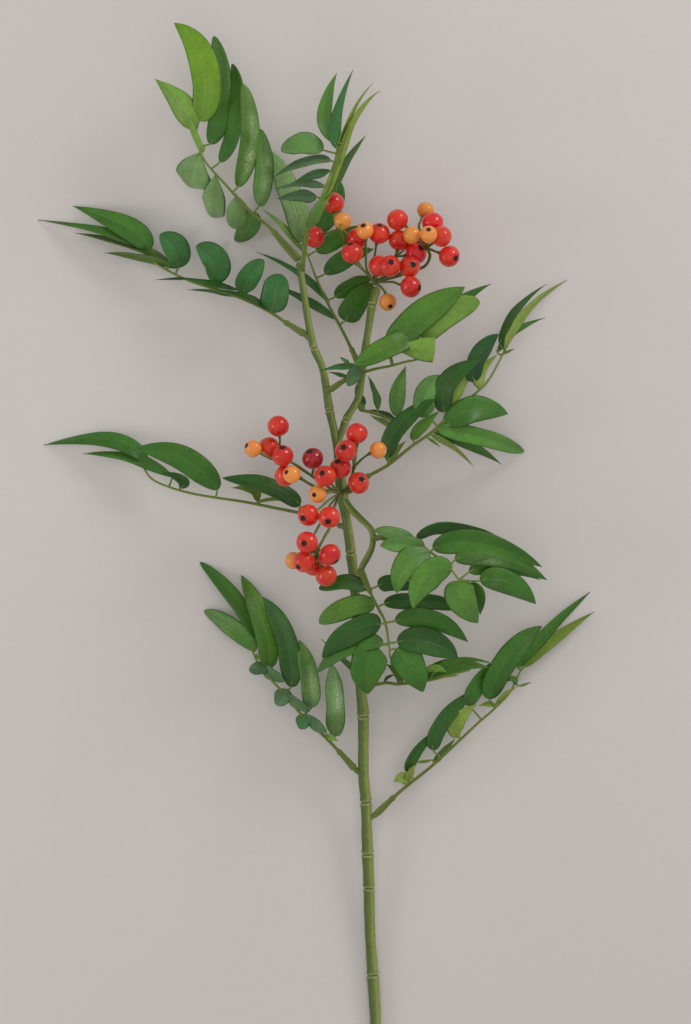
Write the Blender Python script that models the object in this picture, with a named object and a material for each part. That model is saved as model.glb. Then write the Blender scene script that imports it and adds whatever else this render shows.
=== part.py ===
# A moulded rowan spray lying on its back: one jointed stem, thirteen feathered fronds,
# two umbels of stalks and forty-four berries. Metres, +X right, +Y towards the crown, +Z up.

import math

import bpy
from mathutils import Matrix, Vector

# driving sizes, in metres
berryRadiusRed = 0.0062
berryRadiusOrange = 0.0049
berryFlattening = 0.95
stalkRadius = 0.0007
hubRadius = 0.0019
knotRadius = 0.0012
socketRadius = 0.0021
socketLength = 0.010
rachisRadius = 0.0011
rachisTipRadius = 0.0007
leafletThickness = 0.0011
petioluleRadius = 0.0006
longPetiolule = 0.005
stubRadius = 0.0013
jointGap = 0.0005
grooveDepth = 0.22
grooveHalfLength = 0.0022

# The layout sheet: u runs right and v runs down, in units of 0.6 mm at the middle height.
# Distances on it shrink with height, as on a drawing made by an eye 2 m above the floor.
sheetUnit = 0.0006
sheetMiddleU = 345.5
sheetMiddleV = 512.0
middleHeight = 0.035
eyeHeight = 2.0
originX = 0.0180
originY = 0.0290
millimetre = 0.001

# main stem, cut end to crown: u, v, height in mm, width in sheet units, ring groove or not
mainStem = [
    (376.0, 1084, 3.3, 11.0, False),
    (375.6, 1024, 3.6, 10.5, False),
    (372.8, 975, 4.6, 11.0, True),
    (370.0, 930, 6.4, 10.0, False),
    (369.0, 888, 8.6, 11.0, True),
    (367.7, 854, 10.8, 11.0, True),
    (366.5, 820, 13.2, 10.0, False),
    (366.0, 802, 14.6, 11.0, True),
    (363.5, 772, 17.4, 10.0, False),
    (363.3, 716, 24.0, 11.0, True),
    (361.0, 690, 27.0, 10.0, False),
    (358.0, 640, 30.5, 9.5, False),
    (355.0, 592, 33.0, 9.5, False),
    (351.0, 553, 34.2, 9.5, True),
    (346.5, 520, 35.0, 9.0, False),
    (342.0, 492, 35.0, 11.5, False),
    (338.0, 455, 35.0, 8.0, False),
    (334.0, 430, 35.0, 7.5, False),
    (329.5, 410, 35.0, 8.0, True),
    (323.0, 370, 35.0, 7.0, False),
    (314.0, 348, 35.0, 7.5, True),
    (308.0, 320, 35.0, 6.8, False),
    (302.0, 280, 35.0, 6.5, False),
    (299.0, 263, 35.0, 6.0, False),
]
berryShoot = [
    (337.0, 446, 35.5, 6.0, False),
    (346.0, 420, 36.0, 7.0, True),
    (353.0, 408, 36.0, 7.0, False),
    (358.5, 397, 36.0, 7.0, False),
    (361.5, 378, 36.0, 7.0, False),
    (365.0, 350, 37.0, 7.0, False),
    (369.0, 325, 38.0, 7.0, False),
    (372.0, 305, 38.0, 8.0, True),
    (375.0, 293, 37.0, 8.5, False),
    (376.5, 288, 36.5, 7.0, False),
]
sideTwig = [
    (343.0, 498, 35.5, 6.0, False),
    (352.0, 510, 40.0, 6.5, False),
    (362.0, 520, 46.0, 6.0, False),
    (370.0, 528, 50.0, 6.0, False),
    (373.0, 537, 51.0, 6.0, False),
    (371.0, 550, 50.0, 6.0, False),
    (363.0, 565, 48.0, 6.0, False),
    (361.5, 568.5, 47.5, 5.5, False),
]

# short stubs that the fronds plug on to, from inside the stem to their ends: u, v, height in mm
stubs = [
    ((302.0, 270, 35.0), (302.6, 265, 39.6)),
    ((311.0, 340, 35.0), (303.5, 333, 33.8)),
    ((361.8, 372, 36.0), (357.2, 363, 33.2)),
    ((326.0, 391, 35.0), (330.5, 389, 39.0)),
    ((343.5, 494, 35.0), (351.0, 490, 37.6)),
    ((346.5, 528, 34.6), (338.5, 525, 32.2)),
    ((373.0, 539, 51.0), (378.0, 538, 52.6)),
    ((361.0, 690, 27.0), (367.5, 687, 28.0)),
    ((366.5, 820, 13.2), (377.0, 813.5, 14.0)),
    ((363.5, 777, 17.0), (355.5, 769, 17.4)),
    ((357.0, 402, 36.0), (361.5, 408.5, 32.0)),
]

# Each frond: its rachis on the sheet, the rachis heights in mm at its start, middle and end, and
# its leaflets as base, middle and tip on the sheet, seen width in sheet units, roll in degrees,
# and the rise in mm of the middle and the tip over the rachis.
fronds = {
    "frond_crown": {
        "rachis": [(296, 257), (283, 243), (270, 228), (247, 208), (225, 184), (205, 161),
                   (195, 135)],
        "heights": (35.5, 40, 42),
        "leaflets": [
            ((193, 129), (181, 104), (155, 79), 24, 15, 3, 2),
            ((201, 123), (202, 72), (174, 24), 29, -12, 8, 6),
            ((206, 143), (223, 92), (214, 37), 20, 12, 0, -5),
            ((220, 162), (236, 115), (232, 64), 17, -35, 4, -4),
            ((238, 187), (250, 137), (243, 84), 19, 25, 6, 8),
            ((259, 206), (264, 170), (260, 129), 19, -25, 5, 6),
            ((201, 152), (194, 171), (188, 187), 35, 10, -10, -28),
            ((216, 173), (213, 197), (212, 217), 25, 20, -14, -36),
            ((236, 194), (237, 212), (238, 229), 24, -12, -9, -26),
            ((257, 213), (249, 228), (234, 239), 24, 12, -18, -37.8),
        ],
    },
    "frond_upper_left": {
        "rachis": [(301, 332), (285, 322), (270, 312), (250, 302), (225, 292), (190, 281),
                   (160, 266), (140, 250)],
        "heights": (33.5, 22, 12),
        "leaflets": [
            ((148, 250), (128, 228), (73, 206), 24, 10, 1, -11.8),
            ((141, 249), (105, 232), (38, 220), 10, 40, -1, -11.8),
            ((170, 262), (125, 244), (74, 233), 9, 55, -3, -8),
            ((178, 268), (140, 257), (104, 253), 8, -55, -2, -6),
            ((178, 268), (173, 250), (160, 234), 26, 10, 8, 8),
            ((211, 281), (212, 262), (196, 246), 27, -10, 8, 9),
            ((238, 290), (207, 283), (176, 277), 7, 60, 2, 1),
            ((190, 279), (172, 279), (155, 280), 3, 60, -4, -8),
            ((236, 297), (212, 291), (188, 290), 4, -60, -5, -9),
            ((244, 294), (249, 277), (264, 260), 22, 12, 6, 8),
            ((272, 312), (275, 293), (281, 274), 28, -8, 7, 6),
            ((268, 309), (243, 296), (215, 290), 7, 60, 6, 4),
        ],
    },
    "frond_crown_front": {
        "rachis": [(303, 261), (306, 240), (309, 228), (318, 212), (331, 183), (340, 155),
                   (350, 126)],
        "heights": (41, 54, 62),
        "leaflets": [
            ((309, 228), (317, 212), (330, 190), 12, 50, 5, 6),
            ((325, 200), (343, 168), (366, 135), 12, -55, -3, -6),
            ((333, 178), (348, 122), (373, 83), 7, 60, 1, -4),
            ((340, 163), (356, 117), (380, 91), 8, 55, -4, -10),
            ((337, 148), (336, 117), (353, 70), 12, 40, 4, 0),
            ((329, 140), (325, 108), (337, 73), 14, -40, 2, -6),
            ((323, 150), (303, 143), (281, 151), 22, 10, 3, -4),
            ((331, 161), (305, 162), (274, 177), 12, 45, -2, -6),
            ((330, 171), (312, 175), (291, 184), 8, -55, 2, 0),
            ((325, 187), (303, 184), (274, 189), 9, 55, 0, -4),
            ((317, 197), (298, 196), (277, 199), 12, -40, -4, -10),
        ],
    },
    "frond_crown_back": {
        "rachis": [(356.5, 360), (350, 346), (341, 328), (329, 306), (317, 280), (308, 256),
                   (303, 246)],
        "heights": (32.5, 19, 15),
        "leaflets": [
            ((316, 251), (338, 239), (361, 225), 18, 20, 0, -2),
            ((325, 274), (347, 258), (374, 249), 19, 15, 0, -3),
            ((335, 297), (353, 285), (376, 277), 15, 35, -1, -5),
            ((345, 321), (356, 303), (373, 283), 24, 10, -2, -7),
            ((329, 303), (298, 273), (256, 252), 8, 50, -5, -8),
            ((337, 320), (303, 299), (263, 280), 9, 50, -9, -14),
            ((303, 242), (291, 196), (269, 150), 24, 10, -3, -14.8),
            ((318, 232), (331, 208), (339, 181), 22, -12, 0, -4),
            ((303, 252), (284, 228), (262, 209), 7, 55, 1, 2),
        ],
    },
    "frond_upper_right": {
        "rachis": [(333, 388), (345, 380), (358, 374), (375, 369), (390, 366), (405, 362),
                   (418, 359), (428, 352)],
        "heights": (39.5, 50, 56),
        "leaflets": [
            ((418, 342), (390, 350), (357, 365), 20, 20, 7, 6),
            ((405, 352), (425, 315), (465, 288), 28, -10, 8, 6),
            ((425, 335), (455, 305), (491, 284), 14, 40, -8, -22),
            ((422, 338), (448, 312), (480, 303), 20, 20, 0, -8),
            ((362, 368), (355, 374), (348, 386), 15, 10, 5, 4),
            ((357, 366), (340, 367), (318, 371), 7, 50, 4, 4),
            ((350, 367), (345, 361), (340, 357), 5, 45, 3, 2),
            ((347, 377), (338, 374), (328, 372), 4, -45, 4, 5),
            ((401, 358), (417, 350), (438, 352), 24, 13, 5.4, 6),
        ],
    },
    "frond_mid_right": {
        "rachis": [(353, 488), (365, 478), (388, 465), (412, 446), (432, 432), (450, 415),
                   (470, 398), (488, 381), (505, 350)],
        "heights": (38.5, 42, 30),
        "leaflets": [
            ((505, 350), (524, 313), (567, 280), 10, 50, -8, -29.8),
            ((500, 345), (516, 311), (547, 284), 9, -50, -4, -14),
            ((497, 352), (515, 331), (545, 318), 8, 50, -9, -20),
            ((473, 382), (479, 355), (499, 334), 18, 15, 3, 0),
            ((445, 412), (448, 382), (480, 360), 20, -15, 6, 6),
            ((450, 407), (462, 384), (482, 362), 10, 45, -2, -6),
            ((479, 388), (481, 372), (497, 355), 12, 40, -4, -8),
            ((428, 416), (425, 395), (440, 375), 22, 10, 3, 2),
            ((386, 458), (400, 425), (436, 399), 18, -25, 3, 4),
            ((388, 463), (395, 452), (406, 441), 9, 45, -2, -4),
            ((413, 440), (422, 426), (440, 411), 12, 35, 4, 6),
            ((445, 425), (475, 409), (508, 414), 27, -10, 0, -14),
            ((437, 429), (480, 437), (524, 452), 18, 10, -8, -38),
            ((433, 431), (470, 445), (501, 464), 11, 35, -12, -30),
            ((430, 434), (453, 447), (474, 467), 6, 50, -10, -24),
            ((427, 437), (434, 442), (440, 447), 3, 45, -3, -6),
            ((503, 354), (509, 351), (514, 349), 3, 20, 1, 1),
        ],
    },
    "frond_mid_left": {
        "rachis": [(335.5, 523.5), (320, 518), (300, 513), (275, 508), (245, 502), (190, 493),
                   (155, 481), (143, 467)],
        "heights": (31.6, 21, 10),
        "leaflets": [
            ((146, 466), (115, 441), (44, 445), 17, 20, 1, -9.8),
            ((172, 477), (130, 458), (83, 454), 12, 40, -2, -6),
            ((217, 490), (186, 460), (136, 448), 26, -10, 8, 6),
            ((180, 488), (182, 480), (162, 472), 11, 35, 4, 3),
            ((300, 505), (268, 486), (222, 478), 17, 25, 6, 2),
            ((258, 501), (252, 490), (231, 488), 10, 40, 4, 2),
            ((256, 503), (275, 499), (298, 503), 4, 50, 3, 2),
        ],
    },
    "frond_fan_right": {
        "rachis": [(380, 537.5), (400, 542), (418, 547), (430, 552), (440, 559), (449, 567),
                   (459, 580)],
        "heights": (53, 60, 64),
        "leaflets": [
            ((415, 543), (395, 534), (374, 530), 14, 20, 4, 2),
            ((424, 549), (402, 544), (380, 546), 17, -15, 5, 5),
            ((417, 538), (452, 528), (505, 542), 12, 45, -4, -18),
            ((433, 549), (480, 543), (542, 567), 24, 15, 2, -12),
            ((455, 560), (497, 557), (547, 580), 21, -15, -3, -20),
            ((469, 572), (500, 566), (540, 580), 18, 25, -8, -26),
            ((480, 581), (508, 582), (536, 604), 24, -10, -3, -16),
            ((430, 552), (406, 565), (397, 593), 27, 12, 6, 4),
            ((452, 570), (427, 577), (413, 609), 29, -12, 5, 2),
            ((459, 581), (462, 600), (478, 623), 31, 8, 2, -6),
            ((470, 583), (478, 595), (480, 615), 14, 35, -4, -12),
        ],
    },
    "frond_fan_centre": {
        "rachis": [(361.3, 572.5), (370, 592), (378, 608), (385, 622), (389, 645), (390, 658)],
        "heights": (47, 50, 51),
        "leaflets": [
            ((367, 589), (345, 582), (319, 589), 15, 30, 1, -2),
            ((375, 604), (347, 608), (319, 623), 21, 15, 3, -1),
            ((381, 624), (352, 632), (322, 658), 24, -12, 4, -2),
            ((383, 644), (350, 645), (316, 674), 20, 20, 0, -6),
            ((378, 646), (368, 667), (369, 695), 33, 8, 4, -3),
            ((401, 648), (414, 669), (421, 692), 29, -8, 2, -6),
            ((378, 586), (393, 583), (413, 588), 16, 20, -3, -6),
            ((384, 604), (420, 601), (460, 608), 16, -20, -5, -9),
            ((395, 621), (432, 620), (468, 642), 21, 15, -3, -9),
            ((397, 642), (430, 642), (458, 659), 27, -10, 1, -6),
        ],
    },
    "frond_side_small": {
        "rachis": [(370, 686), (385, 683), (400, 684), (430, 680), (450, 675), (470, 670)],
        "heights": (28.2, 33, 35),
        "leaflets": [
            ((400, 684), (398, 674), (386, 664), 9, 30, 2, 2),
            ((385, 683), (388, 677), (396, 675), 4, 45, 3, 3),
            ((430, 680), (455, 660), (497, 665), 6, 50, 3, 4),
            ((420, 682), (450, 666), (490, 668), 13, 30, 0, 0),
            ((424, 672), (436, 666), (446, 673), 9, 20, 4, 5),
            ((430, 680), (445, 676), (460, 676), 4, 45, -3, -5),
            ((370, 684), (348, 664), (321, 639), 7, 40, -17, -16),
        ],
    },
    "frond_base_right": {
        "rachis": [(379.5, 811), (395, 796), (408, 785), (433, 765), (462, 738), (478, 723),
                   (494, 709), (510, 692), (521, 670)],
        "heights": (14.2, 22, 15),
        "leaflets": [
            ((523, 666), (548, 628), (590, 592), 11, 30, -2, -14.8),
            ((527, 667), (556, 642), (594, 612), 10, -30, -4, -11),
            ((492, 700), (505, 660), (543, 625), 22, 10, 5, -6),
            ((470, 706), (480, 682), (505, 660), 17, 20, 1, -8),
            ((433, 750), (443, 722), (475, 690), 20, -15, 5, 0),
            ((408, 772), (417, 752), (437, 731), 12, 25, 3, 0),
            ((463, 735), (461, 722), (470, 707), 20, 10, 3, 5),
            ((494, 707), (488, 704), (479, 706), 4, 45, -2, -4),
            ((496, 704), (505, 694), (517, 687), 5, 45, 3, 4),
            ((433, 762), (443, 752), (455, 739), 9, 45, -4, -8),
            ((432, 760), (421, 762), (416, 760), 3, 45, -2, -4),
            ((409, 783), (402, 778), (394, 782), 12, 20, 3, 3),
            ((408, 783), (416, 766), (421, 757), 8, 40, 3, 4),
            ((517, 684), (512, 679), (506, 682), 7, 30, 3, 3),
            ((519, 686), (526, 684), (531, 682), 3, 45, -1, -2),
        ],
    },
    "frond_base_left": {
        "rachis": [(352, 766), (345, 758), (325, 737), (312, 725), (300, 713), (288, 698),
                   (268, 676), (258, 663), (252, 650)],
        "heights": (17.6, 21, 14),
        "leaflets": [
            ((256, 638), (236, 600), (200, 562), 16, 15, -2, -13.8),
            ((256, 650), (233, 628), (204, 611), 19, -10, -3, -13.8),
            ((270, 668), (263, 622), (241, 575), 21, 25, 3, -6),
            ((291, 687), (286, 640), (263, 597), 24, -15, 5, 0),
            ((312, 710), (311, 675), (299, 640), 19, 20, 4, 3),
            ((335, 736), (335, 700), (331, 662), 17, -25, 3, 0),
            ((265, 671), (258, 672), (249, 669), 15, 20, 2, 1),
            ((272, 676), (279, 680), (286, 682), 8, 35, 3, 4),
            ((289, 692), (283, 699), (275, 703), 16, 15, 1, -1),
            ((289, 695), (299, 705), (310, 713), 7, 45, 4, 5),
            ((308, 714), (304, 722), (300, 729), 15, 20, 1, 0),
            ((308, 716), (318, 725), (328, 733), 8, 45, 4, 5),
            ((326, 735), (332, 738), (338, 741), 6, 30, 3, 4),
            ((255, 655), (262, 658), (268, 661), 6, 30, 2.5, 4),
        ],
    },
    "frond_hidden_small": {
        "rachis": [(363.5, 410.5), (370, 412), (382, 416), (395, 422), (405, 428)],
        "heights": (31, 25, 22),
        "leaflets": [
            ((397, 416), (398, 392), (406, 366), 16, 20, 2, 1),
            ((378, 410), (375, 393), (368, 376), 8, 50, 0, -2),
            ((364, 406), (359, 396), (356, 384), 9, 30, -6, -9),
            ((395, 421), (380, 413), (366, 411), 7, 50, -5, -8),
            ((393, 424), (382, 421), (370, 415), 6, -45, -6, -9),
        ],
    },
}
thickSockets = {
    "frond_upper_left",
    "frond_crown_back",
    "frond_upper_right",
    "frond_mid_right",
    "frond_base_right",
    "frond_base_left",
}

# Umbels: the hub and the arms to its side knots, all as u, v, height in mm.
# Berries: centre u, v, height in mm, ripe or orange, then the points of the stalk from a knot
# or the hub.
upperHub = (375, 282, 35)
upperLeft = (345, 243, 34)
upperMiddle = (396, 256, 34)
upperRight = (427, 248, 36)
upperArms = [
    [upperHub, (362, 268, 32), (352, 254, 29), upperLeft],
    [upperHub, (393, 271, 31), upperMiddle],
    [upperHub, (395, 277, 32), (412, 271, 30), (425, 266, 30), (430, 256, 33), upperRight],
]
upperBerries = [
    (333.6, 203.0, 34, True, [upperLeft, (338, 230, 36), (334, 217, 35)]),
    (342.5, 221.0, 42, False, [upperLeft, (342, 236, 42), (340, 229, 49)]),
    (314.4, 237.0, 30, True, [upperLeft, (347, 234, 32), (338, 230, 31), (327, 233, 31)]),
    (357.4, 238.6, 34, True, [(352, 254, 29), (355, 250, 30.5)]),
    (364.9, 230.5, 46, False, [upperHub, (367, 270, 35), (366, 255, 38), (366, 244, 42)]),
    (379.2, 233.4, 38, True, [upperHub, (374, 265, 30), (376, 247, 35)]),
    (352.2, 252.9, 44, True, [upperHub, (361, 268, 38), (356, 264, 41)]),
    (379.2, 266.0, 40, True, [upperHub, (376, 279, 36)]),
    (390.0, 266.0, 52, True, [upperHub, (388, 277, 38), (391, 273, 43)]),
    (409.6, 266.7, 46, True, [(395, 277, 32), (403, 271, 37)]),
    (397.6, 219.6, 40, True, [upperRight, (414, 237, 35), (407, 227, 38)]),
    (399.3, 240.3, 36, True, [upperMiddle, (397, 252, 34)]),
    (411.9, 235.1, 46, False, [upperMiddle, (404, 250, 27), (409, 241, 28), (411, 237, 38)]),
    (425.7, 210.4, 28, False, [upperRight, (424, 240, 36), (419, 227, 34), (421, 220, 31)]),
    (432.6, 222.5, 37, True, [upperRight, (430, 236, 34)]),
    (428.6, 234.5, 55, False, [upperRight, (428, 243, 42), (428, 238, 47)]),
    (441.2, 236.3, 46, True, [upperRight, (433, 243, 41)]),
    (449.3, 256.3, 42, True, [upperRight, (437, 252, 39)]),
    (416.0, 253.5, 36, True, [upperMiddle, (403, 256, 34)]),
    (419.4, 242.0, 24, True, [upperRight, (426, 247, 33)]),
    (410.8, 286.8, 50, True, [upperHub, (392, 282, 40), (398, 284, 46)]),
    (387.8, 302.3, 40, False, [upperHub, (382, 288, 37), (385, 292, 38.5)]),
]
lowerHub = (341, 493, 42)
lowerLeft = (279, 455, 46)
lowerFork = (300, 478, 48)
lowerTurn = (354, 467, 55)
lowerTip = (318, 549, 60)
lowerArms = [
    [lowerHub, (330, 488, 43), (312, 476, 45), (293, 463, 46), lowerLeft],
    [lowerHub, (318, 488, 45), lowerFork],
    [lowerHub, (350, 483, 49), lowerTurn],
    [lowerHub, (334, 508, 48), (331, 525, 54), (324, 538, 58), lowerTip],
]
lowerBerries = [
    (278.2, 426.1, 56, True, [lowerLeft, (280, 441, 51)]),
    (268.8, 447.5, 50, True, [lowerLeft, (277.5, 454, 46.4)]),
    (253.0, 448.5, 58, False, [lowerLeft, (276, 459, 49), (271, 459, 55), (263, 454, 58.4)]),
    (282.7, 455.7, 60, True, [lowerLeft, (284, 459, 49)]),
    (285.1, 475.7, 54, True, [lowerFork, (298, 478, 49)]),
    (291.8, 474.5, 66, False, [lowerFork, (298, 477, 56)]),
    (312.8, 458.4, 56, True, [(312, 476, 45), (314, 467, 48)]),
    (325.1, 476.1, 68, True, [lowerHub, (332, 485, 50), (328, 480, 58)]),
    (340.3, 467.9, 58, True, [lowerHub, (341, 483, 47)]),
    (346.1, 450.7, 68, True, [lowerTurn, (353, 459, 61)]),
    (356.6, 433.6, 60, True, [lowerTurn, (357, 448, 57)]),
    (378.1, 450.0, 60, False, [lowerTurn, (362, 459, 57.5), (369, 454, 59)]),
    (358.7, 482.9, 60, True, [lowerHub, (350, 489, 49)]),
    (317.7, 494.2, 64, False, [lowerHub, (332, 492, 52), (328, 493, 57)]),
    (308.2, 515.1, 64, True, [lowerHub, (330, 499, 50), (320, 508, 57)]),
    (329.4, 517.2, 68, True, [lowerHub, (338, 500, 48), (334, 508, 57)]),
    (307.1, 542.4, 72, True,
     [lowerHub, (330, 505, 48), (322, 520, 54), (315, 533, 59), (313, 536, 63)]),
    (330.0, 554.5, 68, True, [lowerTip, (320.5, 550.5, 61.5)]),
    (293.6, 560.6, 54, False, [lowerTip, (311, 553, 56.5), (302, 556.5, 54)]),
    (303.9, 561.8, 66, True, [lowerTip, (314, 555, 60.5)]),
    (313.6, 565.4, 53, True, [lowerTip, (317, 556, 57)]),
    (326.1, 575.7, 63, True, [lowerTip, (318.5, 560, 62.5), (320, 565, 62.5)]),
]

# colour and roughness of each material
looks = {
    "stem_olive": ((0.155, 0.225, 0.045, 1.0), 0.45),
    "frond_green": ((0.070, 0.190, 0.045, 1.0), 0.50),
    "stalk_green": ((0.140, 0.200, 0.050, 1.0), 0.50),
    "berry_red": ((0.680, 0.035, 0.022, 1.0), 0.22),
    "berry_orange": ((0.830, 0.270, 0.045, 1.0), 0.25),
}


def clearScene():
    for item in list(bpy.data.objects):
        bpy.data.objects.remove(item)


def makeMaterials():
    made = {}
    for name, (colour, roughness) in looks.items():
        material = bpy.data.materials.new(name)
        material.use_nodes = True
        shader = material.node_tree.nodes["Principled BSDF"]
        shader.inputs["Base Color"].default_value = colour
        shader.inputs["Roughness"].default_value = roughness
        shader.inputs["Metallic"].default_value = 0.0
        made[name] = material
    return made


def place(u, v, heightMm):
    """The point of the layout sheet at (u, v), raised to a height in mm."""
    height = heightMm * millimetre
    spread = sheetUnit * (eyeHeight - height) / (eyeHeight - middleHeight)
    return Vector((originX + (u - sheetMiddleU) * spread,
                   originY - (v - sheetMiddleV) * spread,
                   height))


def quadratic(first, middle, last, t):
    """The curve that passes first at t = 0, middle at t = 0.5 and last at t = 1."""
    return first * ((2 * t - 1) * (t - 1)) + middle * (4 * t * (1 - t)) + last * (t * (2 * t - 1))


def addObject(name, verts, faces, material, helperOf=None):
    mesh = bpy.data.meshes.new(name)
    mesh.from_pydata([tuple(v) for v in verts], [], faces)
    mesh.materials.append(material)
    made = bpy.data.objects.new(name, mesh)
    if helperOf is None:
        bpy.context.scene.collection.objects.link(made)
    else:
        helperOf.objects.link(made)
        made.hide_render = True
        made.display_type = "WIRE"
    return made


def tube(path, radii, sides):
    """Verts and faces of a closed tube along a list of points, its ring turned only with the path."""
    tangents = []
    for i in range(len(path)):
        before = path[max(i - 1, 0)]
        after = path[min(i + 1, len(path) - 1)]
        tangents.append((after - before).normalized())
    across = tangents[0].orthogonal().normalized()
    verts = []
    for point, tangent, radius in zip(path, tangents, radii):
        across = (across - tangent * across.dot(tangent)).normalized()
        other = tangent.cross(across)
        for k in range(sides):
            angle = 2 * math.pi * k / sides
            outward = across * math.cos(angle) + other * math.sin(angle)
            verts.append(point + outward * radius)
    faces = [tuple(range(sides - 1, -1, -1))]
    for i in range(len(path) - 1):
        for k in range(sides):
            near = i * sides + k
            beside = i * sides + (k + 1) % sides
            faces.append((near, beside, beside + sides, near + sides))
    last = (len(path) - 1) * sides
    faces.append(tuple(range(last, last + sides)))
    return verts, faces


def ball(centre, radius, axis, rings, segments, flattening=1.0):
    """A turned ball, drawn out along its axis by the flattening."""
    turn = axis.to_track_quat("Z", "Y").to_matrix()
    verts = [centre - turn @ Vector((0, 0, radius * flattening))]
    for i in range(1, rings):
        polar = math.pi * i / rings
        for k in range(segments):
            angle = 2 * math.pi * k / segments
            ring = radius * math.sin(polar)
            spot = Vector((ring * math.cos(angle), ring * math.sin(angle),
                           -radius * flattening * math.cos(polar)))
            verts.append(centre + turn @ spot)
    verts.append(centre + turn @ Vector((0, 0, radius * flattening)))
    top = len(verts) - 1
    faces = []
    for k in range(segments):
        nextK = (k + 1) % segments
        faces.append((0, 1 + nextK, 1 + k))
        for i in range(rings - 2):
            low = 1 + i * segments
            high = low + segments
            faces.append((low + k, low + nextK, high + nextK, high + k))
        faces.append((top - segments + k, top - segments + nextK, top))
    return verts, faces


def union(target, helpers):
    """Joins the helpers in a collection to the target, as one solid."""
    modifier = target.modifiers.new("union", "BOOLEAN")
    modifier.operation = "UNION"
    modifier.solver = "EXACT"
    modifier.operand_type = "COLLECTION"
    modifier.collection = helpers


def helperCollection(name):
    helpers = bpy.data.collections.new(name)
    bpy.context.scene.collection.children.link(helpers)
    return helpers


def stemStations(line):
    """Points and radii along a stem line, with three stations at each ring groove."""
    path = []
    radii = []
    points = [place(u, v, height) for u, v, height, width, grooved in line]
    for i, (u, v, height, width, grooved) in enumerate(line):
        radius = width * sheetUnit / 2
        if not grooved:
            path.append(points[i])
            radii.append(radius)
            continue
        along = (points[i + 1] - points[i - 1]).normalized()
        path += [points[i] - along * grooveHalfLength, points[i], points[i] + along * grooveHalfLength]
        radii += [radius, radius * (1 - grooveDepth), radius]
    return path, radii


def buildStem(materials):
    helpers = helperCollection("stem_helpers")
    verts, faces = tube(*stemStations(mainStem), 8)
    stem = addObject("stem", verts, faces, materials["stem_olive"])
    for name, line in (("berry_shoot", berryShoot), ("side_twig", sideTwig)):
        verts, faces = tube(*stemStations(line), 6)
        addObject(name, verts, faces, materials["stem_olive"], helpers)
    for number, (start, end) in enumerate(stubs):
        verts, faces = tube([place(*start), place(*end)], [stubRadius * 1.2, stubRadius], 6)
        addObject(f"stub_{number + 1:02d}", verts, faces, materials["stem_olive"], helpers)
    union(stem, helpers)


def nearestOnPath(path, target):
    """The point of a path of straight runs that is nearest to the target in plan."""
    best = path[0]
    for start, end in zip(path, path[1:]):
        run = (end - start).xy
        share = min(1.0, max(0.0, (target - start).xy.dot(run) / run.length_squared))
        spot = start.lerp(end, share)
        if (spot - target).xy.length < (best - target).xy.length:
            best = spot
    return best


# stations of a leaflet: place along its midrib, and its half width and thickness as shares
leafletStations = [(0.0, 0.14, 1.0), (0.24, 0.78, 1.0), (0.54, 1.0, 0.9), (0.82, 0.62, 0.7)]


def leaflet(root, base, middle, tip, seenWidth, roll):
    """A lens-shaped leaflet: each station is a left edge, a raised midrib, a right edge and a keel."""
    rollAngle = math.radians(roll)
    halfWidth = seenWidth * sheetUnit / 2 / math.cos(rollAngle)
    verts = []
    stations = [(quadratic(base, middle, tip, t), width, thick) for t, width, thick in leafletStations]
    if (root - base).length > longPetiolule:
        stations.insert(0, (root, 0.0, 1.0))
    else:
        stations[0] = (root, stations[0][1], 1.0)
    for i, (point, width, thick) in enumerate(stations):
        ahead = stations[i + 1][0] if i + 1 < len(stations) else tip
        along = (ahead - point).normalized()
        level = Vector((-along.y, along.x, 0.0)).normalized()
        side = Matrix.Rotation(rollAngle, 3, along) @ level
        up = along.cross(side)
        reach = max(halfWidth * width, petioluleRadius)
        half = leafletThickness / 2 * thick
        verts += [point + side * reach, point + up * half, point - side * reach, point - up * half]
    verts.append(tip)
    last = len(verts) - 1
    faces = [(0, 1, 2, 3)]
    for i in range(len(stations) - 1):
        for k in range(4):
            near = 4 * i + k
            beside = 4 * i + (k + 1) % 4
            if k % 2 == 0:  # both faces of the blade fold along the same diagonal
                faces.append((near, near + 4, beside + 4))
                faces.append((near, beside + 4, beside))
            else:
                faces.append((near, near + 4, beside))
                faces.append((near + 4, beside + 4, beside))
    for k in range(4):
        faces.append((last - 4 + k, last, last - 4 + (k + 1) % 4))
    return verts, faces


def rachisPath(frond):
    """Points of a rachis, its height a smooth curve of the distance along it."""
    start, middle, end = frond["heights"]
    flat = [Vector(point) for point in frond["rachis"]]
    lengths = [0.0]
    for a, b in zip(flat, flat[1:]):
        lengths.append(lengths[-1] + (b - a).length)
    return [place(p.x, p.y, quadratic(start, middle, end, s / lengths[-1]))
            for p, s in zip(flat, lengths)]


def rachisRadii(path, socket):
    travelled = 0.0
    radii = []
    for i, point in enumerate(path):
        if i:
            travelled += (point - path[i - 1]).length
        thin = rachisRadius + (rachisTipRadius - rachisRadius) * i / (len(path) - 1)
        radii.append(socket if travelled < socketLength else thin)
    return radii


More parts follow.
